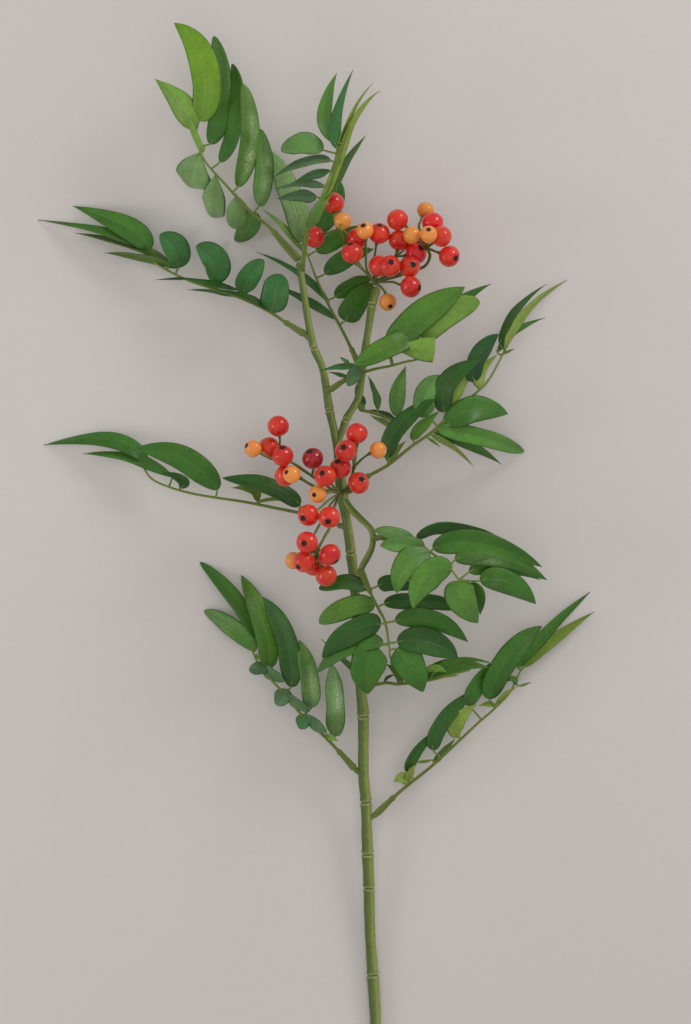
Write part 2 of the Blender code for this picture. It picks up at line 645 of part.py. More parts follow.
def buildFrond(name, frond, materials):
    helpers = helperCollection(name + "_leaflets")
    path = rachisPath(frond)
    path[0] = path[0] + (path[1] - path[0]).normalized() * jointGap
    socket = socketRadius if name in thickSockets else rachisRadius * 1.3
    verts, faces = tube(path, rachisRadii(path, socket), 6)
    spine = addObject(name, verts, faces, materials["frond_green"])
    for number, row in enumerate(frond["leaflets"]):
        base, middle, tip, seenWidth, roll, riseMiddle, riseTip = row
        root = nearestOnPath(path, place(*base, frond["heights"][1]))
        level = root.z / millimetre
        base = place(*base, level)
        middle = place(*middle, level + riseMiddle)
        tip = place(*tip, level + riseTip)
        verts, faces = leaflet(root, base, middle, tip, seenWidth, roll)
        addObject(f"{name}_leaflet_{number + 1:02d}", verts, faces, materials["frond_green"], helpers)
    union(spine, helpers)


def buildUmbel(name, hub, arms, knots, berries, materials):
    helpers = helperCollection(name + "_stalks")
    verts, faces = ball(place(*hub), hubRadius, Vector((0, 0, 1)), 4, 6)
    umbel = addObject("umbel_" + name, verts, faces, materials["stalk_green"])
    for number, knot in enumerate(knots):
        verts, faces = ball(place(*knot), knotRadius, Vector((0.3, 0.2, 1)).normalized(), 4, 5)
        addObject(f"{name}_knot_{number + 1}", verts, faces, materials["stalk_green"], helpers)
    for number, arm in enumerate(arms):
        path = [place(*point) for point in arm]
        verts, faces = tube(path, [stalkRadius * 1.3] * len(path), 5)
        addObject(f"{name}_arm_{number + 1}", verts, faces, materials["stalk_green"], helpers)
    for number, (u, v, height, ripe, stalk) in enumerate(berries):
        centre = place(u, v, height)
        radius = berryRadiusRed if ripe else berryRadiusOrange
        path = [place(*point) for point in stalk]
        away = (path[-1] - centre).normalized()
        path.append(centre + away * (radius + jointGap))
        verts, faces = tube(path, [stalkRadius] * len(path), 4)
        addObject(f"{name}_stalk_{number + 1:02d}", verts, faces, materials["stalk_green"], helpers)
        verts, faces = ball(centre, radius, -away, 5, 8, berryFlattening)
        colour = materials["berry_red"] if ripe else materials["berry_orange"]
        addObject(f"berry_{name}_{number + 1:02d}", verts, faces, colour)
    union(umbel, helpers)


def smoothBerries():
    for item in bpy.context.scene.objects:
        if item.name.startswith("berry_") and not item.hide_render:
            item.data.shade_smooth()


def main():
    clearScene()
    materials = makeMaterials()
    buildStem(materials)
    for name, frond in fronds.items():
        buildFrond(name, frond, materials)
    upperKnots = [upperLeft, upperMiddle, upperRight]
    buildUmbel("upper", upperHub, upperArms, upperKnots, upperBerries, materials)
    lowerKnots = [lowerLeft, lowerFork, lowerTurn, lowerTip]
    buildUmbel("lower", lowerHub, lowerArms, lowerKnots, lowerBerries, materials)
    smoothBerries()


main()
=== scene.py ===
# A rowan spray lying on its back, seen from straight above. Each finer surface below
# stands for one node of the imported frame: the stem, the fronds, the umbels' stalks, the berries.
import math

import bpy
import numpy as np
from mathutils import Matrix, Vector


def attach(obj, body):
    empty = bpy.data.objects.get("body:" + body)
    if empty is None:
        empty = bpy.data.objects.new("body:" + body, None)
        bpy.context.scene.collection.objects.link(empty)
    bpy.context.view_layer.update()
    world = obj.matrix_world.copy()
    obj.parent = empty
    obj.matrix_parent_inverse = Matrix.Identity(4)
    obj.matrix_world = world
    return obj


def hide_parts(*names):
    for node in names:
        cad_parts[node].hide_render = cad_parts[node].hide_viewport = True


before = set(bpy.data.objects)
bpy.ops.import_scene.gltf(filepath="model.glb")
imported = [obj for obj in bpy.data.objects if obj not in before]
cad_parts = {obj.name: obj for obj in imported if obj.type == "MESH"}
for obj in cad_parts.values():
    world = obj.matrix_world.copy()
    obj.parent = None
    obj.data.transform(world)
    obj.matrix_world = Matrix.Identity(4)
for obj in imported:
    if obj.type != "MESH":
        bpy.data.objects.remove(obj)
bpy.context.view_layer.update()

print("frame loaded:", len(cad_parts), "nodes")

# The layout sheet: u runs right and v runs down, in units of 0.6 mm at the middle height,
# drawn as seen by an eye 2 m over the floor. Heights on it are in mm.
sheet = {"unit": 0.0006, "middleU": 345.5, "middleV": 512.0, "middleHeight": 0.035,
         "eyeHeight": 2.0, "originX": 0.0180, "originY": 0.0290}
millimetre = 0.001
centimetresInMetre = 100
clearance = 0.0001  # the least height of anything over the floor
upward = [0.0, 0.0, 1.0]
chance = np.random.default_rng(11)
phaseSpan = 6.28  # a random phase is drawn from nearly a whole turn


def place(points):
    # from the sheet to the floor's own metres, along the eye's line of sight
    points = np.asarray(points, float)
    height = points[..., 2] * millimetre
    scale = sheet["unit"] * (sheet["eyeHeight"] - height) / (sheet["eyeHeight"] - sheet["middleHeight"])
    x = sheet["originX"] + (points[..., 0] - sheet["middleU"]) * scale
    y = sheet["originY"] - (points[..., 1] - sheet["middleV"]) * scale
    return np.stack([x, y, height], -1)


def unit(vectors):
    return vectors / np.maximum(np.linalg.norm(vectors, axis=-1, keepdims=True), 1e-12)


def distanceAlong(points):
    return np.append(0, np.cumsum(np.linalg.norm(np.diff(points, axis=0), axis=1)))


def ringAngles(sides):
    return 2 * math.pi * np.arange(sides) / sides


def hump(values, strength, centre, width):
    # a soft bump: strength * exp(-((value - centre) / width) ** 2). In the dictionaries below a
    # hump is given as its strength, centre and width.
    return strength * np.exp(-((values - centre) / width) ** 2)


def ramp(values, start, width):
    # 0 up to the start, then evenly up to 1 a width further on
    return np.clip((values - start) / width, 0, 1)


def blend(first, second, share):
    return first * (1 - share) + second * share


def quadratic(share, start, middle, end):
    # the parabola through start, middle and end, at shares of 0, a half and 1
    return (start * (2 * share - 1) * (share - 1) + middle * 4 * share * (1 - share)
            + end * share * (2 * share - 1))


def linear(red, green, blue):
    # a display colour of 0 to 255 as light, by the usual display curve; the fourth value is the
    # share of painted highlight speckle, here none
    channel = np.array([red, green, blue], float) / 255
    light = np.where(channel > 0.04045, ((channel + 0.055) / 1.055) ** 2.4, channel / 12.92)
    return np.append(light, 0.0)


def smoothPath(points, step):
    # a smooth cubic curve through the points, walked in even steps;
    # also gives how far along the list of points each step is, and the distance travelled
    samples = 40  # between two points
    fewest = 6  # steps in a path
    points = np.asarray(points, float)
    padded = np.vstack([2 * points[0] - points[1], points, 2 * points[-1] - points[-2]])
    walk = np.linspace(0, len(points) - 1, samples * (len(points) - 1) + 1)
    span = np.minimum(walk.astype(int), len(points) - 2)
    share = (walk - span)[:, None]
    before, start, end, after = (padded[span + k] for k in range(4))
    dense = 0.5 * (2 * start + (end - before) * share
                   + (2 * before - 5 * start + 4 * end - after) * share ** 2
                   + (3 * start - before - 3 * end + after) * share ** 3)
    travelled = distanceAlong(dense)
    even = np.linspace(0, travelled[-1], max(fewest, int(travelled[-1] / step)))
    path = np.stack([np.interp(even, travelled, dense[:, axis]) for axis in range(3)], -1)
    return path, np.interp(even, travelled, walk), even


def uvCorners(*corners):
    # the corners of many faces at once, each given as its u and its v
    return np.stack([np.stack(np.broadcast_arrays(u, v), -1) for u, v in corners], -2)


def closedGrid(rows, startPole, endPole, rowV, columnU, tone, slotIndex=0):
    # a surface of two parameters, closed around its columns and closed by a pole at each end;
    # rows[i, k] is the point at parameters rowV[i] and columnU[k], which are also its UV
    count, around = rows.shape[:2]
    row, column = np.meshgrid(np.arange(count - 1), np.arange(around), indexing="ij")
    after = (column + 1) % around
    quads = np.stack([row * around + column, (row + 1) * around + column,
                      (row + 1) * around + after, row * around + after], -1).reshape(-1, 4)
    v0, v1 = rowV[row], rowV[row + 1]
    u0, u1 = columnU[column], columnU[column + 1]
    ring = np.arange(around)
    beside = (ring + 1) % around
    last = (count - 1) * around
    pole = np.full(around, count * around)
    triangles = np.vstack([np.stack([pole, ring, beside], -1),
                           np.stack([pole + 1, last + beside, last + ring], -1)])
    left, right = columnU[:-1], columnU[1:]
    middle = (left + right) / 2
    startUv = uvCorners((middle, rowV[0]), (left, rowV[0]), (right, rowV[0]))
    endUv = uvCorners((middle, rowV[-1]), (right, rowV[-1]), (left, rowV[-1]))
    tone = np.broadcast_to(tone, (count, around, 4))
    return {"verts": np.vstack([rows.reshape(-1, 3), startPole, endPole]), "slot": slotIndex,
            "quads": quads, "triangles": triangles, "triUv": np.concatenate([startUv, endUv]),
            "quadUv": uvCorners((u0, v0), (u0, v1), (u1, v1), (u1, v0)).reshape(-1, 4, 2),
            "tone": np.vstack([tone.reshape(-1, 4), tone[0].mean(0), tone[-1].mean(0)])}


def directions(path, level):
    # along, sideways and upward directions at each point of a path, sideways level if asked
    along = unit(np.gradient(path, axis=0))
    steady = upward if level else np.eye(3)[np.argmin(np.abs(along).max(0))]
    side = unit(np.cross(along, steady))
    return along, side, np.cross(side, along)


def sweep(path, radii, sides, tone, level=True, shape=None):
    # a tube: centre + radius * (side * cos(angle) + up * sin(angle)), the radius drawn in or out
    # by the shape given for each angle, both ends closed by a low dome
    domeRise = 0.4
    along, side, up = directions(path, level)
    angle = ringAngles(sides)
    reach = np.broadcast_to(radii[:, None], (len(path), sides))
    if shape is not None:
        reach = reach * shape(angle)
    rows = (path[:, None] + side[:, None] * (reach * np.cos(angle))[..., None]
            + up[:, None] * (reach * np.sin(angle))[..., None])
    start = path[0] - along[0] * radii[0] * domeRise
    end = path[-1] + along[-1] * radii[-1] * domeRise
    travelled = distanceAlong(path) * centimetresInMetre
    return closedGrid(rows, start, end, travelled, np.arange(sides + 1) / sides, tone)


def makePiece(name, parts, materials, node):
    # joins the parts into one mesh, all quads before all triangles, with its UV map and its tones
    def joined(key):
        return np.concatenate([part[key] for part in parts])

    offsets = np.cumsum([0] + [len(part["verts"]) for part in parts])
    quads = np.vstack([part["quads"] + start for part, start in zip(parts, offsets)])
    triangles = np.vstack([part["triangles"] + start for part, start in zip(parts, offsets)])
    verts = joined("verts")
    verts[:, 2] = np.maximum(verts[:, 2], clearance)
    mesh = bpy.data.meshes.new(name)
    mesh.vertices.add(len(verts))
    mesh.vertices.foreach_set("co", verts.astype(np.float32).ravel())
    loops = np.concatenate([quads.ravel(), triangles.ravel()])
    mesh.loops.add(len(loops))
    mesh.loops.foreach_set("vertex_index", loops.astype(np.int32))
    starts = np.concatenate([np.arange(len(quads)) * 4, quads.size + np.arange(len(triangles)) * 3])
    mesh.polygons.add(len(starts))
    mesh.polygons.foreach_set("loop_start", starts.astype(np.int32))
    mesh.polygons.foreach_set("use_smooth", np.ones(len(starts), bool))
    slots = np.concatenate([np.full(len(part[faces]), part["slot"])
                            for faces in ("quads", "triangles") for part in parts])
    mesh.polygons.foreach_set("material_index", slots.astype(np.int32))
    uv = np.concatenate([joined("quadUv").ravel(), joined("triUv").ravel()])
    mesh.uv_layers.new(name="UVMap").data.foreach_set("uv", uv.astype(np.float32))
    tones = mesh.color_attributes.new("tone", "FLOAT_COLOR", "POINT")
    tones.data.foreach_set("color", joined("tone").astype(np.float32).ravel())
    mesh.update(calc_edges=True)
    for material in materials:
        mesh.materials.append(material)
    piece = bpy.data.objects.new(name, mesh)
    bpy.context.scene.collection.objects.link(piece)
    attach(piece, "root")
    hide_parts(node)


def setSockets(tree, node, sockets):
    # each socket is set to a value or joined to another node's output
    for key, value in sockets.items():
        if isinstance(value, bpy.types.NodeSocket):
            tree.links.new(value, node.inputs[key])
        else:
            node.inputs[key].default_value = value


def addNode(tree, kind, sockets, **settings):
    made = tree.nodes.new("ShaderNode" + kind)
    for key, value in settings.items():
        setattr(made, key, value)
    setSockets(tree, made, sockets)
    return made


def newMaterial(name):
    material = bpy.data.materials.new(name)
    material.use_nodes = True
    return material, material.node_tree, material.node_tree.nodes["Principled BSDF"]


def skinInputs(tree):
    # the piece's own tone, and its UV map as one vector
    return (addNode(tree, "Attribute", {}, attribute_name="tone"),
            addNode(tree, "UVMap", {}, uv_map="UVMap").outputs[0])


def noise(tree, scale, detail, roughness=0.55, vector=None):
    if vector is None:
        vector = addNode(tree, "TexCoord", {}).outputs["Object"]
    return addNode(tree, "TexNoise", {"Vector": vector, "Scale": scale, "Detail": detail,
                                      "Roughness": roughness}).outputs["Fac"]


def ranged(tree, value, low, high, outLow=0.0, outHigh=1.0):
    return addNode(tree, "MapRange", {"Value": value, "From Min": low, "From Max": high,
                                      "To Min": outLow, "To Max": outHigh}).outputs["Result"]


def spread(tree, noiseValue, low, high):
    # a noise keeps mostly between 0.3 and 0.7, and that stretch becomes low to high
    return ranged(tree, noiseValue, 0.3, 0.7, low, high)


def maths(tree, operation, first, second=0.0, third=0.0):
    return addNode(tree, "Math", {0: first, 1: second, 2: third}, operation=operation).outputs[0]


def plus(tree, first, second):
    return maths(tree, "ADD", first, second)


def minus(tree, first, second):
    return maths(tree, "SUBTRACT", first, second)


def times(tree, first, second):
    return maths(tree, "MULTIPLY", first, second)


def mixed(tree, factor, first, second):
    # sockets 6 and 7 and output 2 are the colour ones
    return addNode(tree, "Mix", {0: factor, 6: first, 7: second}, data_type="RGBA").outputs[2]


def tinted(tree, colour, value, hue=0.5):
    return addNode(tree, "HueSaturation", {"Color": colour, "Value": value, "Hue": hue}).outputs["Color"]


def coverWith(tree, shader, look, body, roughness, height):
    # colour, dullness and relief, the way every finish ends
    strength, distance = look["bump"]
    relief = addNode(tree, "Bump", {"Height": height, "Strength": strength, "Distance": distance})
    setSockets(tree, shader, {"Base Color": body, "Roughness": roughness,
                              "Specular IOR Level": look["specular"],
                              "Normal": relief.outputs["Normal"]})


# In the finishes, a noise is its scale, detail and roughness, a spread is the lowest and highest
# value it gives, an edge is where a change starts and ends, and a bump is strength and distance.
leafFinish = {
    "blotches": (45.0, 3.0), "blotchSpread": (0.84, 1.16), "mottle": (420.0, 5.0, 0.65),
    "mottleSpread": (-0.11, 0.11), "hues": (70.0, 3.0), "hueSpread": (0.488, 0.512),
    "streaks": (2.6, 4.0, 0.6), "streakSpread": (-0.13, 0.13), "streaksAcross": 0.7,
    "veinsPerCentimetre": 2.9, "veinSlant": 1.5, "veinEdge": (0.40, 0.5), "veinPaler": 0.05,
    "wander": (300.0, 2.0), "wanderShare": 0.9, "midribEdge": (0.03, 0.10), "midribShare": 0.10,
    # the speckles are a painted highlight: pale glints of gloss mixed into the colour
    "midribColour": (0.26, 0.36, 0.12, 1.0), "highlightSpeckles": (1500.0, 3.0, 0.6),
    "highlightSpeckleEdge": (0.42, 0.54), "highlightSpecklePatch": (0.38, 0.58), "highlightSpeckleShare": 0.9,
    "paintedHighlightColour": (0.60, 0.66, 0.40, 1.0), "mottleRelief": 0.55, "veinRelief": 0.35,
    "midribRelief": 0.8, "roughness": (0.32, 0.46), "specular": 0.5, "bump": (0.55, 0.00045)}


def leafMaterial():
    # satin moulded leaf: pale midrib, faint side veins, mottled green, and a painted highlight, pale
    # speckles standing in for glints of gloss, where the tone's alpha asks for it. U crosses the
    # blade and V is centimetres along it.
    look = leafFinish
    material, tree, shader = newMaterial("leaf_satin")
    tone, uv = skinInputs(tree)
    uv = addNode(tree, "SeparateXYZ", {0: uv})
    # across is 0 at the midrib and 1 at the rim; a vein lies where the phase passes a whole number
    across = maths(tree, "ABSOLUTE", maths(tree, "MULTIPLY_ADD", uv.outputs[0], 2.0, -1.0))
    phase = minus(tree, times(tree, uv.outputs[1], look["veinsPerCentimetre"]),
                  times(tree, across, look["veinSlant"]))
    phase = plus(tree, phase, times(tree, noise(tree, *look["wander"]), look["wanderShare"]))
    wave = maths(tree, "ABSOLUTE", minus(tree, maths(tree, "FRACT", phase), 0.5))
    vein = ranged(tree, wave, *look["veinEdge"])
    midrib = ranged(tree, across, *look["midribEdge"], 1.0, 0.0)
    blotches = noise(tree, *look["blotches"])
    mottle = noise(tree, *look["mottle"])
    woven = addNode(tree, "CombineXYZ", {0: phase, 1: times(tree, across, look["streaksAcross"])})
    streaks = noise(tree, *look["streaks"], woven.outputs[0])
    value = plus(tree, spread(tree, blotches, *look["blotchSpread"]),
                 spread(tree, mottle, *look["mottleSpread"]))
    value = plus(tree, value, times(tree, vein, look["veinPaler"]))
    value = plus(tree, value, spread(tree, streaks, *look["streakSpread"]))
    hue = spread(tree, noise(tree, *look["hues"]), *look["hueSpread"])
    body = tinted(tree, tone.outputs["Color"], value, hue)
    body = mixed(tree, times(tree, midrib, look["midribShare"]), body, look["midribColour"])
    # painted highlight: pale speckles mixed into the colour as glints of gloss, where the tone's alpha
    # and the blotches allow
    paintedHighlight = ranged(tree, noise(tree, *look["highlightSpeckles"]), *look["highlightSpeckleEdge"])
    paintedHighlight = times(tree, paintedHighlight, tone.outputs["Alpha"])
    paintedHighlight = times(tree, paintedHighlight, ranged(tree, blotches, *look["highlightSpecklePatch"]))
    body = mixed(tree, times(tree, paintedHighlight, look["highlightSpeckleShare"]), body, look["paintedHighlightColour"])
    height = minus(tree, times(tree, mottle, look["mottleRelief"]), times(tree, vein, look["veinRelief"]))
    height = minus(tree, height, times(tree, midrib, look["midribRelief"]))
    coverWith(tree, shader, look, body, spread(tree, mottle, *look["roughness"]), height)
    return material


waxFinish = {
    "streaks": (3.0, 4.0, 0.6), "streakStretch": (6.0, 0.9, 1.0), "patches": (120.0, 4.0),
    "pits": (1400.0, 3.0), "patchSpread": (-0.12, 0.12), "hueSpread": (0.487, 0.508),
    "streakRelief": 0.8, "pitRelief": 0.3, "smoother": 0.06, "rougher": 0.08,
    "specular": 0.45, "bump": (0.5, 0.0003)}


def waxMaterial(name, streak, roughness):
    # waxy stalks: streaks drawn out along the length, fine pits and a little gloss
    look = waxFinish
    material, tree, shader = newMaterial(name)
    tone, uv = skinInputs(tree)
    stretched = addNode(tree, "Mapping", {"Vector": uv, "Scale": look["streakStretch"]})
    streaks = noise(tree, *look["streaks"], stretched.outputs["Vector"])
    patches = noise(tree, *look["patches"])
    pits = noise(tree, *look["pits"])
    value = plus(tree, spread(tree, streaks, 1.0 - streak, 1.0 + streak),
                 spread(tree, patches, *look["patchSpread"]))
    hue = spread(tree, patches, *look["hueSpread"])
    height = plus(tree, times(tree, streaks, look["streakRelief"]), times(tree, pits, look["pitRelief"]))
    dull = spread(tree, pits, roughness - look["smoother"], roughness + look["rougher"])
    coverWith(tree, shader, look, tinted(tree, tone.outputs["Color"], value, hue), dull, height)
    return material


berryFinish = {
    "mottle": (190.0, 4.0, 0.6), "mottleSpread": (0.86, 1.12), "freckles": (1100.0, 3.0, 0.6),
    "freckleSpread": (-0.05, 0.05), "hues": (85.0, 2.0), "hueSpread": (0.494, 0.508),
    "blushEdge": (0.45, 0.75), "calyxEdge": (0.84, 0.97), "calyxShare": 0.38,
    "calyxShade": (0.11, 0.012, 0.008, 1.0), "roughness": (0.28, 0.40), "coat": 0.8,
    "coatRoughness": 0.12, "specular": 0.25, "freckleRelief": 0.25, "bump": (0.16, 0.0003)}


def berryMaterial(name, blush, blushShare):
    # lacquered flesh: mottled skin with a blush in patches, darker round the calyx.
    # V runs from 0 at the stalk to 1 at the calyx.
    look = berryFinish
    material, tree, shader = newMaterial(name)
    tone, uv = skinInputs(tree)
    uv = addNode(tree, "SeparateXYZ", {0: uv})
    mottle = noise(tree, *look["mottle"])
    freckles = noise(tree, *look["freckles"])
    value = plus(tree, spread(tree, mottle, *look["mottleSpread"]),
                 spread(tree, freckles, *look["freckleSpread"]))
    hue = spread(tree, noise(tree, *look["hues"]), *look["hueSpread"])
    body = tinted(tree, tone.outputs["Color"], value, hue)
    blushed = times(tree, ranged(tree, mottle, *look["blushEdge"]), blushShare)
    body = mixed(tree, blushed, body, blush)
    near = ranged(tree, uv.outputs[1], *look["calyxEdge"])
    body = mixed(tree, times(tree, near, look["calyxShare"]), body, look["calyxShade"])
    height = plus(tree, mottle, times(tree, freckles, look["freckleRelief"]))
    coverWith(tree, shader, look, body, spread(tree, freckles, *look["roughness"]), height)
    setSockets(tree, shader, {"Coat Weight": look["coat"], "Coat Roughness": look["coatRoughness"]})
    return material


calyxFinish = {
    "crumbs": (1500.0, 4.0, 0.7), "crumbEdge": (0.4, 0.68), "dark": (0.006, 0.004, 0.004, 1.0),
    "brown": (0.050, 0.030, 0.020, 1.0), "roughness": (0.6, 0.85), "specular": 0.5,
    "bump": (0.8, 0.0003)}


def calyxMaterial():
    # the dried flower end: dark brown with grey-brown crumbs
    look = calyxFinish
    material, tree, shader = newMaterial("calyx_dry")
    crumbs = noise(tree, *look["crumbs"])
    body = mixed(tree, ranged(tree, crumbs, *look["crumbEdge"]), look["dark"], look["brown"])
    coverWith(tree, shader, look, body, spread(tree, crumbs, *look["roughness"]), crumbs)
    return material


leafSatin = leafMaterial()
stemWax = waxMaterial("stem_wax", streak=0.20, roughness=0.42)
rachisWax = waxMaterial("rachis_wax", streak=0.16, roughness=0.45)
stalkWax = waxMaterial("umbel_wax", streak=0.18, roughness=0.45)
berryRed = berryMaterial("berry_red_lacquer", blush=(0.80, 0.10, 0.022, 1.0), blushShare=0.35)
berryOrange = berryMaterial("berry_orange_lacquer", blush=(0.83, 0.13, 0.03, 1.0), blushShare=0.30)
calyxDry = calyxMaterial()
print("materials made")

# Stem lines from the cut end up: u, v, height, width in sheet units, ring groove or not.
# The humps beside a ring are strength, how far off in mm and how wide in mm; a wave is its
# strength, radians a metre and start; the ramps of painted light and painted shade are start and width.
stemLook = {
    "main": [
        (376.0, 1084, 3.3, 11.0, 0), (375.6, 1024, 3.6, 10.5, 0), (372.8, 975, 4.6, 11.0, 1),
        (370.0, 930, 6.4, 10.0, 0), (369.0, 888, 8.6, 11.0, 1), (367.7, 854, 10.8, 11.0, 1),
        (366.5, 820, 13.2, 10.0, 0), (366.0, 802, 14.6, 11.0, 1), (363.5, 772, 17.4, 10.0, 0),
        (363.3, 716, 24.0, 11.0, 1), (361.0, 690, 27.0, 10.0, 0), (358.0, 640, 30.5, 9.5, 0),
        (355.0, 592, 33.0, 9.5, 0), (351.0, 553, 34.2, 9.5, 1), (346.5, 520, 35.0, 9.0, 0),
        (342.0, 492, 35.0, 11.5, 0), (338.0, 455, 35.0, 8.0, 0), (334.0, 430, 35.0, 7.5, 0),
        (329.5, 410, 35.0, 8.0, 1), (323.0, 370, 35.0, 7.0, 0), (314.0, 348, 35.0, 7.5, 1),
        (308.0, 320, 35.0, 6.8, 0), (302.0, 280, 35.0, 6.5, 0), (299.0, 263, 35.0, 6.0, 0)],
    "berryShoot": [
        (337.0, 446, 35.5, 6.0, 0), (346.0, 420, 36.0, 7.0, 1), (353.0, 408, 36.0, 7.0, 0),
        (358.5, 397, 36.0, 7.0, 0), (361.5, 378, 36.0, 7.0, 0), (365.0, 350, 37.0, 7.0, 0),
        (369.0, 325, 38.0, 7.0, 0), (372.0, 305, 38.0, 8.0, 1), (375.0, 293, 37.0, 8.5, 0),
        (376.5, 288, 36.5, 7.0, 0)],
    "sideTwig": [
        (343.0, 498, 35.5, 6.0, 0), (352.0, 510, 40.0, 6.5, 0), (362.0, 520, 46.0, 6.0, 0),
        (370.0, 528, 50.0, 6.0, 0), (373.0, 537, 51.0, 6.0, 0), (371.0, 550, 50.0, 6.0, 0),
        (363.0, 565, 48.0, 6.0, 0), (361.5, 568.5, 47.5, 5.5, 0)],
    "stubs": [
        ((302.0, 270, 35.0), (302.6, 265, 39.6)), ((311.0, 340, 35.0), (303.5, 333, 33.8)),
        ((361.8, 372, 36.0), (357.2, 363, 33.2)), ((326.0, 391, 35.0), (330.5, 389, 39.0)),
        ((343.5, 494, 35.0), (351.0, 490, 37.6)), ((346.5, 528, 34.6), (338.5, 525, 32.2)),
        ((373.0, 539, 51.0), (378.0, 538, 52.6)), ((361.0, 690, 27.0), (367.5, 687, 28.0)),
        ((366.5, 820, 13.2), (377.0, 813.5, 14.0)), ((363.5, 777, 17.0), (355.5, 769, 17.4)),
        ((357.0, 402, 36.0), (361.5, 408.5, 32.0))],
    "sides": {"main": 22, "berryShoot": 18, "sideTwig": 16, "stubs": 12}, "step": 0.0006,
    "ringSwelling": (0.10, 1.3, 1.2), "ringCut": (-0.26, 0, 0.45),
    "longWave": (0.025, 140, 0), "shortWave": (0.02, 410, 1),
    "mouldRidge": (0.05, 0, 0.16), "mouldDent": (-0.05, 0.15, 0.14),
    "lightRamp": (0.05, 0.35), "shadeRamp": (0.1, 0.6), "shadeShare": 0.8,
    "lipShare": (0.7, 0.9, 0.45), "grooveShare": (0.9, 0, 0.38),
    "stubStep": 0.0004, "stubRadius": 0.0019, "stubTaper": 0.0006, "stubCollar": (0.0005, 0.85, 0.14),
    # the shade and light colours are painted shade and painted light on the stem's two sides, the groove
    # colour painted shade in each ring's cut
    "shade": linear(76, 98, 42), "body": linear(102, 124, 54), "light": linear(142, 156, 80),
    "lip": linear(176, 184, 120), "groove": linear(52, 58, 26)}


def sineWave(values, strength, rate, start):
    return strength * np.sin(values * rate + start)


def stemSection(angle):
    # round, with a thin mould ridge at each side and a dent beside its top and its bottom
    return (1 + hump(np.sin(angle), *stemLook["mouldRidge"])
            + hump(np.cos(angle), *stemLook["mouldDent"]))


def stemLine(rows, sides):
    # a jointed stem: its radius drawn in at each ring, swollen beside it and gently waved;
    # painted shade down its left and painted light along its right, a paler lip beside each ring
    # and painted shade in the groove of each ring
    look = stemLook
    rows = np.asarray(rows, float)
    path, where, travelled = smoothPath(place(rows[:, :3]), look["step"])
    radii = np.interp(where, np.arange(len(rows)), rows[:, 3]) * sheet["unit"] / 2
    rings = np.interp(np.flatnonzero(rows[:, 4]), where, travelled)
    farOff = 1.0  # in metres, for a line with no rings
    away = np.abs(travelled[:, None] - rings).min(1) if len(rings) else np.full(len(path), farOff)
    away = away / millimetre
    radii = radii * (1 + hump(away, *look["ringSwelling"]) + hump(away, *look["ringCut"])
                     + sineWave(travelled, *look["longWave"]) + sineWave(travelled, *look["shortWave"]))
    # painted light on the side facing right and painted shade on the side facing left
    facing = np.cos(ringAngles(sides))[None, :, None]
    tone = blend(look["body"], look["light"], ramp(facing, *look["lightRamp"]))
    tone = blend(tone, look["shade"], ramp(-facing, *look["shadeRamp"]) * look["shadeShare"])
    tone = blend(tone, look["lip"], hump(away, *look["lipShare"])[:, None, None])
    # painted shade in the groove cut at each ring
    tone = blend(tone, look["groove"], hump(away, *look["grooveShare"])[:, None, None])
    return sweep(path, radii, sides, tone, shape=stemSection)


def stubPart(start, end):
    # a short tapering socket with a raised collar at its end
    path, _, travelled = smoothPath(place([start, end]), stemLook["stubStep"])
    share = travelled / travelled[-1]
    radii = stemLook["stubRadius"] - stemLook["stubTaper"] * share + hump(share, *stemLook["stubCollar"])
    return sweep(path, radii, stemLook["sides"]["stubs"], stemLook["body"])


def buildStem():
    parts = [stemLine(stemLook[line], stemLook["sides"][line])
             for line in ("main", "berryShoot", "sideTwig")]
    parts += [stubPart(start, end) for start, end in stemLook["stubs"]]
    makePiece("stem_skin", parts, [stemWax], "stem")


buildStem()
print("stem built")

# colours of a leaflet's seen face and of its other face, partly the leaflets' own greens and
# partly painted light: the lighter tones stand in for light shining through a leaflet, the
# darker ones for painted shade
tones = {
    "bright": (linear(112, 156, 28), linear(116, 148, 58)),
    "light": (linear(120, 163, 60), linear(104, 140, 58)),
    "green": (linear(80, 128, 34), linear(106, 138, 58)),
    "mid": (linear(62, 114, 28), linear(106, 140, 62)),
    "sage": (linear(98, 144, 68), linear(104, 138, 72)),
    "dark": (linear(46, 94, 26), linear(98, 134, 60)),
    "deep": (linear(38, 84, 34), linear(96, 130, 62)),
    "jade": (linear(60, 116, 54), linear(94, 132, 66)),
    "blue": (linear(80, 120, 72), linear(92, 128, 78)),
    "pale": (linear(130, 168, 100), linear(110, 146, 78)),
    "fresh": (linear(88, 140, 50), linear(98, 136, 62)),
    "lime": (linear(134, 158, 62), linear(120, 144, 62)),
    "olive": (linear(110, 136, 42), linear(102, 128, 48)),
    "moss": (linear(76, 108, 32), linear(92, 122, 50))}

# Outlines: how deep a blade folds, where it reaches its full width and how roundly, where it
# starts to narrow and how soon, and how round its end is, from 1 for a point down to 0.55.
outlines = {
    "lance": (0.20, 0.38, 0.50, 0.40, 1.9, 1.0), "long": (0.28, 0.34, 0.60, 0.34, 1.6, 1.0),
    "strap": (0.16, 0.24, 0.42, 0.44, 2.5, 0.85), "blunt": (0.14, 0.16, 0.40, 0.50, 2.6, 0.55),
    "broad": (0.18, 0.34, 0.48, 0.42, 2.2, 0.9), "round": (0.12, 0.40, 0.50, 0.48, 2.1, 0.60),
    "spade": (0.05, 0.66, 1.15, 0.62, 2.4, 0.55), "fan": (0.08, 0.95, 1.5, 0.95, 6.0, 1.0),
    "heart": (0.12, 0.30, 0.46, 0.34, 2.1, 0.75), "finger": (0.15, 0.30, 0.46, 0.46, 2.5, 0.55)}
